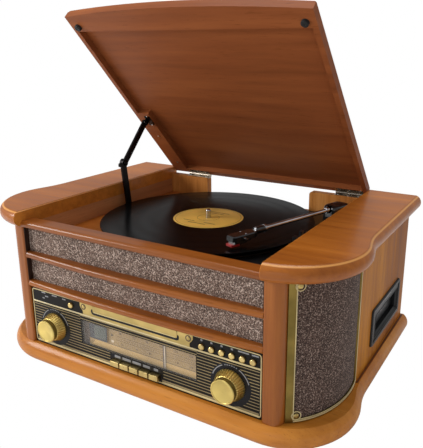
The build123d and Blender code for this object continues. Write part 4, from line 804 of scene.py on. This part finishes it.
def fasciaMarks():
    s = markSettings
    y = fasciaSettings["front"]
    marks = []
    for index in range(s["buttonMarks"]):
        x = s["buttonX"] + s["buttonPitch"] * index
        marks.append(frontPlate((x - 1.5, 108.9), (x + 1.1, 111.2), y, 0.14, 0.3, 0.05))
    bars = [((start, s["longHeights"][0]), (end, s["longHeights"][1])) for start, end in s["longMarks"]]
    bars += [((x, z - 0.8), (x + wide, z + 0.8)) for x, z, wide in s["leftMarks"]]
    marks.extend(frontPlate(low, high, y, 0.14, 0.4, 0.05) for low, high in bars)
    makePiece("button_marks", "cabinet", marks, "dial_print", silverMark)
    field = frontPlate(*s["keyField"], y, 0.24, 0.6, 0.06)
    makePiece("key_mark_field", "cabinet", [field], "fascia_black", discBlack)
    low, high = s["keyHeights"]
    words = [frontPlate((start, low), (end, high), y - 0.2, 0.14, 0.6, 0.04) for start, end in s["keyMarks"]]
    makePiece("key_marks", "cabinet", words, "dial_print", silverMark)
    gaps = []
    for index in range(s["keyGaps"]):
        ends = [(s["keyGapX"] + s["keyPitch"] * index, y + 0.2, z) for z in s["keyGapHeights"]]
        gaps.append(strip(ends, frontOut, 1.2, 0.4, profile=groove))
    makePiece("key_dividers", "cabinet", gaps, "fascia_black", discBlack)


dialSettings = {
    "scaleY": -155.6, "screenY": -157.6, "pointerY": -156.6, "print": 0.15, "right": 92.8, "left": -68.0,
    "bandLow": 53.6, "bandHigh": 62.8, "lines": (77.2, 71.6), "ticks": 50, "tickPitch": 2.5,
    "upper": (("88", -26), ("92", -4), ("96", 16), ("100", 37), ("104", 58), ("108", 80)),
    "lower": (("53", -24), ("65", 0), ("80", 20), ("110", 39), ("140", 60), ("160", 80)),
    "upperZ": 81.6, "upperHeight": 3.2, "lowerZ": 67.4, "lowerHeight": 2.8, "pointerHeights": (55.6, 88.2),
}


def dialPrint():
    s = dialSettings
    y, high, left, right = s["scaleY"], s["print"], s["left"], s["right"]

    def printPiece(name, shapes, material=brownPrintAndShade):
        makePiece(name, "cabinet", shapes, "dial_print", material)

    printPiece("dial_left_column", [frontPlate((-89.5, 53.4), (-78.6, 89.6), y, high, 0.3, 0.04)])
    band = [(-76.0, s["bandLow"]), (right, s["bandLow"]), (right, s["bandHigh"]), (left, s["bandHigh"])]
    printPiece("dial_gold_band", [plateShape(band, (0, y, 0), frontAcross, frontUp, high, 0.04)], goldPrint)
    edge = [(x, y, s["bandHigh"] + 0.5) for x in (left, right)]
    printPiece("dial_band_line", [strip(edge, frontOut, 0.5, 0.12, profile=groove)])
    lines = [strip([(-34.0, y, z), (92.0, y, z)], frontOut, 0.35, 0.1, profile=groove) for z in s["lines"]]
    lines += [textShape(words, (x, s["upperZ"]), s["upperHeight"], y) for words, x in s["upper"]]
    lines += [textShape(words, (x, s["lowerZ"]), s["lowerHeight"], y) for words, x in s["lower"]]
    pointer = [(-41.2, 74.6), (-37.2, 76.6), (-41.2, 78.6)]
    lines.append(plateShape(pointer, (0, y, 0), frontAcross, frontUp, 0.12, 0.03))
    printPiece("dial_figures", lines)
    printPiece("dial_smudge", [frontPlate((-41.6, 66.2), (-37.4, 69.8), y, 0.12, 1.2, 0.03)], creamPrint)
    tick = strip([(-32.0, y, 73.4), (-32.0, y, 75.2)], frontOut, 0.4, 0.1, profile=groove)
    repeatPiece("dial_ticks", "cabinet", tick, s["ticks"], (s["tickPitch"], 0, 0), brownPrintAndShade)
    screen = s["screenY"]
    rim = [(x, screen, z) for x, z in roundedOutline((-75.6, 65.5), (-46.8, 84.9), 0.8)]
    backing = frontPlate((-75.4, 65.6), (-47.0, 84.8), screen, high, 0.4, 0.05)
    printPiece("display_frame", [strip(rim, frontOut, 1.1, 0.4, closed=True), backing], screenFrame)
    glass = frontPlate((-67.6, 67.2), (-48.6, 84.0), screen - high, high, 0.5, 0.05)
    makePiece("display_screen", "cabinet", [glass], "dial_clear", screenGrey)
    for name, x, wide, material in (("pointer_line", 43.0, 1.2, creamPrint),
                                    ("pointer_shade", 40.8, 1.1, brownPrintAndShade)):
        line = strip([(x, s["pointerY"], z) for z in s["pointerHeights"]], frontOut, wide, 0.3)
        makePiece(name, "tuning_pointer", [line], "pointer", material)


revealSettings = {"x": 175.5, "low": -162.6, "high": -155.7, "heights": ((124.4, 155.2), (164.7, 197.6))}


def columnReveals():
    s = revealSettings
    shapes = []
    for side in (-1, 1):
        for low, high in s["heights"]:
            outline = roundedOutline((s["low"], low), (s["high"], high), 0.8)
            corners = [(-side * u, v) for u, v in outline]
            shapes.append(plateShape(corners, (side * s["x"], 0, 0), (0, -side, 0), (0, 0, 1), 0.22, 0.08))
    makePiece("column_reveals", "cabinet", shapes, "cabinet_wood", revealBrown)


# curved speaker corners
cornerSettings = {
    "x": 169.0, "y": -63.5, "a": 72.0, "b": 98.0, "barX": 206.0, "low": 38.4, "high": 196.6, "rearY": -38.6,
    "rearInset": 3.0, "steps": 28, "openingLine": 1.15, "lowerLine": 1.7, "lowerZ": 36.4,
    "edgeTurn": 0.022, "edgeHeights": (35.6, 117.9, 200.2), "edgeLine": 1.3,
    "screwX": 208.6, "screwHeights": (43.2, 193.6), "screwRadius": 2.9, "ringRadius": 5.6, "ringWidth": 1.0,
    "footX": 240.4, "footRear": 175.0, "footZ": 34.0, "footLine": 2.6,
}


def cornerTrim():
    s = cornerSettings

    def turnAt(x):
        ratio = (x - s["x"]) / s["a"]
        return -atan2(sqrt(1 - ratio * ratio), ratio)

    def onFace(turn, z, side):
        point = (side * (s["x"] + s["a"] * cos(turn)), s["y"] + s["b"] * sin(turn), z)
        normal = Vector((side * cos(turn) / s["a"], sin(turn) / s["b"], 0)).normalized()
        return point, tuple(normal)

    def faceStrip(places, wide, high, closed=False):
        return strip([point for point, _ in places], [normal for _, normal in places], wide, high, closed)

    rise = (s["rearY"] - s["y"]) / s["b"]
    barTurn, rearTurn, steps = turnAt(s["barX"]), atan2(rise, sqrt(1 - rise * rise)), s["steps"]
    inner, outer, screws, shadow = [], [], [], []
    for side in (-1, 1):
        opening, foot = [], []
        for step in range(steps + 1):
            turn = barTurn + (rearTurn - barTurn) * step / steps
            opening.append(onFace(turn, s["low"] + (s["rearInset"] if step == steps else 0.0), side))
            foot.append(onFace(turn, s["lowerZ"], side))
        for step in range(steps + 1):
            turn = rearTurn + (barTurn - rearTurn) * step / steps
            opening.append(onFace(turn, s["high"] - (s["rearInset"] if step == 0 else 0.0), side))
        inner.append(faceStrip(opening, s["openingLine"], 0.5, True))
        outer.append(faceStrip(foot, s["lowerLine"], 0.6))
        ends = [onFace(rearTurn + s["edgeTurn"], z, side) for z in s["edgeHeights"]]
        outer.append(faceStrip(ends, s["edgeLine"], 0.5))
        for z in s["screwHeights"]:
            point, normal = onFace(turnAt(s["screwX"]), z, side)
            radius = s["ringRadius"]
            inner.append(ringShape(point, normal, radius - s["ringWidth"], radius, 0.6, 0.25, 36))
            screws.extend(screwShape(point, normal, s["screwRadius"], 1.1))
        foot = [(side * s["footX"], y, s["footZ"]) for y in (s["footRear"], s["rearY"])]
        shadow.append(strip(foot, (0, 0, 1), s["footLine"], 0.3, profile=groove))
    makePiece("corner_opening_lines", "cabinet", inner, "gold_trim", edgeGold)
    makePiece("corner_edge_lines", "cabinet", outer, "gold_trim", edgeGold)
    makePiece("corner_screws", "cabinet", screws, "gold_trim", plateGold)
    makePiece("wall_foot_lines", "cabinet", shadow, "cabinet_wood", footBrown)


# turntable and tonearm
recordSettings = {
    "top": 190.7, "label": 50.0, "labelFlat": 49.4, "hole": 3.8,
    "rings": ((46.4, 46.9, 96), (15.6, 16.0, 64)),
    "words": ((-18, 28, 36), (-12, 22, 24), (-26, -24, 18), (8, -24, 18), (-14, -31, 28)),
    "lands": (147.6, 127.0, 108.0, 86.5, 64.0, 57.0), "chassisTop": 179.75, "chassisRing": (135.0, 137.5),
}


def recordDetails():
    s = recordSettings
    x, y, top, hole, up = recordCentre[0] / mm, recordCentre[1] / mm, s["top"], s["hole"], (0, 0, 1)
    centre, printed = (x, y, top), (x, y, top + 0.13)
    profile = [(hole, -0.1), (hole, 0.1), (s["labelFlat"], 0.14), (s["label"], 0.0), (s["label"], -0.1),
               (hole, -0.1)]
    makePiece("record_label", "turntable", [lathe(centre, up, profile, 96)], "record_vinyl", labelGold)
    rings = [ringShape(printed, up, inner, outer, 0.05, 0.02, count) for inner, outer, count in s["rings"]]
    for left, high, wide in s["words"]:
        start = (x + left, y + high, top + 0.13)
        rings.append(strip([start, (start[0] + wide, start[1], start[2])], up, 1.5, 0.05, profile=groove))
    makePiece("label_print", "turntable", rings, "record_vinyl", labelInk)
    lands = [ringShape(centre, up, radius - 0.5, radius + 0.5, 0.08, 0.03, 128) for radius in s["lands"]]
    makePiece("record_lands", "turntable", lands, "record_vinyl")
    ring = ringShape((x, y, s["chassisTop"]), up, *s["chassisRing"], 0.7, 0.3, 128)
    makePiece("chassis_ring", "cabinet", [ring], "platter_black")


armSettings = {
    "x": 150.0, "y": 112.5, "z": 205.0, "turn": -18.0, "length": 203.0,
    "holder": ((-5.6, 0.0), (5.6, 0.0), (5.2, -3.1), (-5.2, -3.1)), "holderDrop": -8.0, "holderLength": 12.8,
    "gripX": 5.2, "capX": 13.6, "marks": (108.0, 117.0, 126.0), "markY": -119.6,
    "screws": ((-104.0, -132.0), (168.5, -132.0), (168.5, 154.0), (-104.0, 154.0)),
}


def armDetails():
    s = armSettings
    length, deck, up = s["length"], recordSettings["chassisTop"], (0, 0, 1)
    turn = radians(s["turn"])
    across = Vector((cos(turn), sin(turn), 0))
    ahead = Vector((sin(turn), -cos(turn), 0))
    pivot = Vector((s["x"], s["y"], s["z"]))

    def local(x, along, z):
        return tuple(pivot + across * x + ahead * along + Vector((0, 0, z)))

    lift = [(0, -0.8), (1.6, -0.8), (1.6, 0.7), (0, 0.9)]
    collars = [ringShape(local(0, length - 59.5, 0), ahead, 3.05, 5.1, 3.4, 0.4, 32),
               ringShape(local(0, 20.0, 0), ahead, 3.05, 4.3, 5.0, 0.5, 32),
               lathe(local(11.4, length - 14, -0.2), up, lift, 20)]
    makePiece("arm_collars", "arm", collars, "steel")
    wedge, side = s["holder"], across
    if across.cross(Vector(up)).dot(ahead) < 0:
        wedge, side = [(-x, z) for x, z in wedge], -across
    place = local(0, length - 11, s["holderDrop"])
    holder = plateShape(wedge, place, tuple(side), up, s["holderLength"], 0.5)
    makePiece("stylus_holder", "arm", [holder], "arm_black", redPlastic)
    tip = [(0, -0.3), (0.7, -0.3), (0.35, 0.9), (0, 1.3)]
    makePiece("stylus_tip", "arm", [lathe(local(0, length - 3.0, -11.0), (0, 0, -1), tip, 16)], "steel")
    grips = [local(x, length - 22, 1.8) for x in (-s["gripX"], s["gripX"])]
    makePiece("headshell_screws", "arm", screwShapes(grips, up, 1.3, 0.5), "steel")
    sides = [(local(side * s["capX"], 0, 0), tuple(across * side)) for side in (-1, 1)]
    caps = [discShape(place, axis, 3.2, 1.0, 0.4, 28) for place, axis in sides]
    makePiece("pivot_caps", "arm_base", caps, "steel")
    cap = domeShape(local(0, -2, 5.6), up, 7.0, 0.9, 36)
    makePiece("housing_cap", "arm_base", [cap], "arm_black")
    ends = [[(x, s["markY"], deck), (x + 4.0, s["markY"], deck)] for x in s["marks"]]
    marks = [strip(line, up, 0.9, 0.15, profile=groove) for line in ends]
    makePiece("selector_marks", "cabinet", marks, "dial_print", silverMark)
    places = [(x, y, deck) for x, y in s["screws"]]
    makePiece("chassis_screws", "cabinet", screwShapes(places, up, 2.6, 0.9), "steel")


# lid, hinges and stay
lidSettings = {
    "angle": 46.2, "hingeY": 176.0, "hingeZ": 211.5, "hinges": (-147.0, 125.0), "hingeScrews": (6, 22, 38),
    "hingeAlong": 7.2, "leafY": 170.4, "leafZ": 209.3, "stayScrews": (131.0, 150.5), "stayX": -153.2,
    "battenX": -159.0, "battenScrews": (30.0, 100.0), "bumperX": 163.0, "bumperAlong": 329.0,
    "rivets": {
        "knee_rivet_outer": ("stay_lower", (-167.6, 23.0, 253.5), (-1, 0, 0), 4.2, 1.0),
        "knee_rivet_inner": ("stay_upper", (-159.2, 23.0, 253.5), (1, 0, 0), 4.2, 1.2),
        "lid_rivet": ("lid", (-158.2, 74.6, 309.3), (1, 0, 0), 3.4, 1.1),
        "foot_rivet": ("cabinet", (-162.3, 32.0, 183.8), (1, 0, 0), 3.0, 0.9),
    },
}


def lidPoint(x, along, depth):
    # along from the hinge axis towards the front edge, depth from the underside to the top
    turn = radians(lidSettings["angle"])
    return (x, lidSettings["hingeY"] - along * cos(turn) + depth * sin(turn),
            lidSettings["hingeZ"] + along * sin(turn) + depth * cos(turn))


def lidDetails():
    s = lidSettings
    turn = radians(s["angle"])
    below = (0, -sin(turn), -cos(turn))
    hinges = [start + shift for start in s["hinges"] for shift in s["hingeScrews"]]
    screws = screwShapes([lidPoint(x, s["hingeAlong"], 0) for x in hinges], below, 1.7, 0.6)
    screws += screwShapes([lidPoint(s["stayX"], along, -1.4) for along in s["stayScrews"]], below, 1.9, 0.7)
    makePiece("lid_hinge_screws", "lid", screws, "steel")
    screws = screwShapes([(x, s["leafY"], s["leafZ"]) for x in hinges], (0, 0, 1), 1.7, 0.6)
    makePiece("cabinet_hinge_screws", "cabinet", screws, "steel")
    screws = screwShapes([lidPoint(s["battenX"], along, 0) for along in s["battenScrews"]], below, 2.4, 0.7)
    makePiece("batten_screws", "lid", screws, "hinge_steel")
    places = [lidPoint(side * s["bumperX"], s["bumperAlong"], -4.2) for side in (-1, 1)]
    pads = [ringShape(place, below, 1.4, 3.2, 0.3, 0.12, 28) for place in places]
    makePiece("bumper_rings", "lid", pads, "rubber")
    for name, (body, place, axis, radius, height) in s["rivets"].items():
        makePiece(name, body, [domeShape(place, axis, radius, height, 28)], "black_steel")


# cassette side, rear and underside
cassetteSettings = {
    "steps": (((20.6, 59.6), (138.9, 99.9), 2.0, 239.4, 1.1), ((30.4, 61.6), (137.6, 93.4), 2.4, 239.4, 0.9)),
    "rim": ((16.4, 55.4), (143.1, 104.1), 3.0, 240.7, 0.7),
    "flap": ((37.5, 68.0), (130.5, 86.8), 1.6, 231.4, 0.9),
    "arrow": ((80.0, 79.6), (88.0, 79.6), (84.0, 74.6)),
    "mark": ((66.0, 101.6), (94.0, 103.0), 0.5), "markX": 240.6,
}


def cassetteDetails():
    s = cassetteSettings
    out, sideways, up = (1, 0, 0), (0, 1, 0), (0, 0, 1)

    def rimStrip(low, high, radius, x, wide, raised):
        rim = [(x, y, z) for y, z in roundedOutline(low, high, radius)]
        return strip(rim, out, wide, raised, closed=True)

    def sidePiece(name, shapes, material=None, body="cabinet"):
        makePiece(name, body, shapes, "black_plastic", material)

    sidePiece("bezel_steps", [rimStrip(*step, 0.5) for step in s["steps"]])
    sidePiece("bezel_rim", [rimStrip(*s["rim"], 0.25)], rimGlint)
    sidePiece("flap_frame", [rimStrip(*s["flap"], 0.4)], body="cassette_flap")
    arrow = plateShape(s["arrow"], (s["flap"][3], 0, 0), sideways, up, 0.25, 0.1)
    sidePiece("flap_arrow", [arrow], silverMark, "cassette_flap")
    mark = plateShape(roundedOutline(*s["mark"]), (s["markX"], 0, 0), sideways, up, 0.12, 0.04)
    sidePiece("bezel_mark", [mark], silverMark)


rearSettings = {
    "back": 175.5, "screwX": (-214.0, -110.0, 0.0, 110.0, 214.0), "screwZ": (42.0, 192.0),
    "notchHalf": 105, "notchLow": 100,
    "plateY": 169.5, "plateX": (-92.0, 12.0), "plateZ": (61.5, 98.5), "jackY": 171.0, "jackZ": (71.0, 89.0),
    "jacks": (("red_jack_rings", -55.0, redPlastic), ("white_jack_rings", -73.0, whitePlastic)),
    "marks": ((-86.0, -42.0, 98.6), (-20.0, 12.0, 98.6), (-88.0, -80.0, 80.0)),
}


def rearDetails():
    s = rearSettings
    out, plateY = (0, 1, 0), s["plateY"]
    places = [(x, s["back"], z) for x in s["screwX"] for z in s["screwZ"]
              if z < s["notchLow"] or abs(x) > s["notchHalf"]]
    screws = screwShapes(places, out, 2.8, 0.9)
    screws += screwShapes([(x, plateY, z) for x in s["plateX"] for z in s["plateZ"]], out, 2.0, 0.7)
    makePiece("rear_screws", "cabinet", screws, "steel")
    for name, x, material in s["jacks"]:
        rings = [ringShape((x, s["jackY"], z), out, 4.25, 5.8, 0.5, 0.15, 32) for z in s["jackZ"]]
        makePiece(name, "cabinet", rings, "black_plastic", material)
    bars = [roundedOutline((-right, z - 0.7), (-left, z + 0.7), 0.4) for left, right, z in s["marks"]]
    lines = [plateShape(bar, (0, plateY, 0), (-1, 0, 0), (0, 0, 1), 0.12, 0.04) for bar in bars]
    makePiece("terminal_marks", "cabinet", lines, "dial_print", silverMark)


undersideSettings = {
    "base_screws": ((-190.0, 190.0), (-116.0, 138.0), 24.0, 1.0),
    "foot_screws": ((-215.0, 215.0), (-130.0, 130.0), 3.0, 0.8),
}


def undersideDetails():
    for name, (across, ahead, z, height) in undersideSettings.items():
        screws = screwShapes([(x, y, z) for x in across for y in ahead], (0, 0, -1), 3.0, height)
        makePiece(name, "cabinet", screws, "steel")


print("front trim")
fasciaTrim()
discDoorTrim()
fasciaMarks()
dialPrint()
columnReveals()
cornerTrim()
print("turntable")
recordDetails()
armDetails()
print("lid and sides")
lidDetails()
cassetteDetails()
rearDetails()
undersideDetails()


# floor, lamps and camera
def makeStudio():
    scene = bpy.context.scene
    scene.view_settings.view_transform = "Standard"
    bpy.ops.mesh.primitive_plane_add(size=floorSettings["size"])
    floor = bpy.context.object
    floor.name = "floor"
    material, tree, shader = newMaterial("pale floor")
    setShader(tree, shader, base=colour(*floorSettings["colour"]), rough=0.9)
    camera = addNode(tree, "ShaderNodeLightPath")
    white = addNode(tree, "ShaderNodeEmission", {"Color": (1, 1, 1, 1), "Strength": 1.0})
    blend = addNode(tree, "ShaderNodeMixShader")
    glow = mathNode(tree, "MULTIPLY", camera.outputs["Is Camera Ray"], floorSettings["glow"])
    tree.links.new(glow, blend.inputs[0])
    tree.links.new(shader.outputs[0], blend.inputs[1])
    tree.links.new(white.outputs[0], blend.inputs[2])
    tree.links.new(blend.outputs[0], tree.nodes["Material Output"].inputs["Surface"])
    floor.data.materials.append(material)
    world = bpy.data.worlds.new("studio")
    scene.world = world
    world.use_nodes = True
    tree = world.node_tree
    background = tree.nodes["Background"]
    background.inputs["Color"].default_value = (1, 1, 1, 1)
    path = addNode(tree, "ShaderNodeLightPath")
    seen = mathNode(tree, "MAXIMUM", path.outputs["Is Camera Ray"], path.outputs["Is Transmission Ray"])
    tree.links.new(span(tree, seen, 0.0, 1.0, lampSettings["world"], 1.0), background.inputs["Strength"])
    for name in ("key", "fill", "top"):
        lamp = lampSettings[name]
        data = bpy.data.lights.new(name, "AREA")
        data.energy = lamp["power"]
        data.size = lamp["size"]
        piece = bpy.data.objects.new(name, data)
        piece.location = lamp["place"]
        aim = Vector((0, 0, 0.15)) - Vector(lamp["place"])
        piece.rotation_euler = aim.to_track_quat("-Z", "Y").to_euler()
        scene.collection.objects.link(piece)


def makeCamera():
    data = bpy.data.cameras.new("camera")
    data.lens = viewSettings["lens"]
    data.sensor_width = viewSettings["sensor"]
    data.shift_x = viewSettings["shiftX"]
    data.shift_y = viewSettings["shiftY"]
    camera = bpy.data.objects.new("camera", data)
    camera.location = viewSettings["place"]
    turn = Euler((radians(90 - viewSettings["elevation"]), 0, radians(viewSettings["azimuth"]))).to_matrix()
    camera.rotation_euler = (turn @ Matrix.Rotation(radians(viewSettings["roll"]), 3, "Z")).to_euler()
    bpy.context.scene.collection.objects.link(camera)
    bpy.context.scene.camera = camera


print("studio")
makeStudio()
makeCamera()
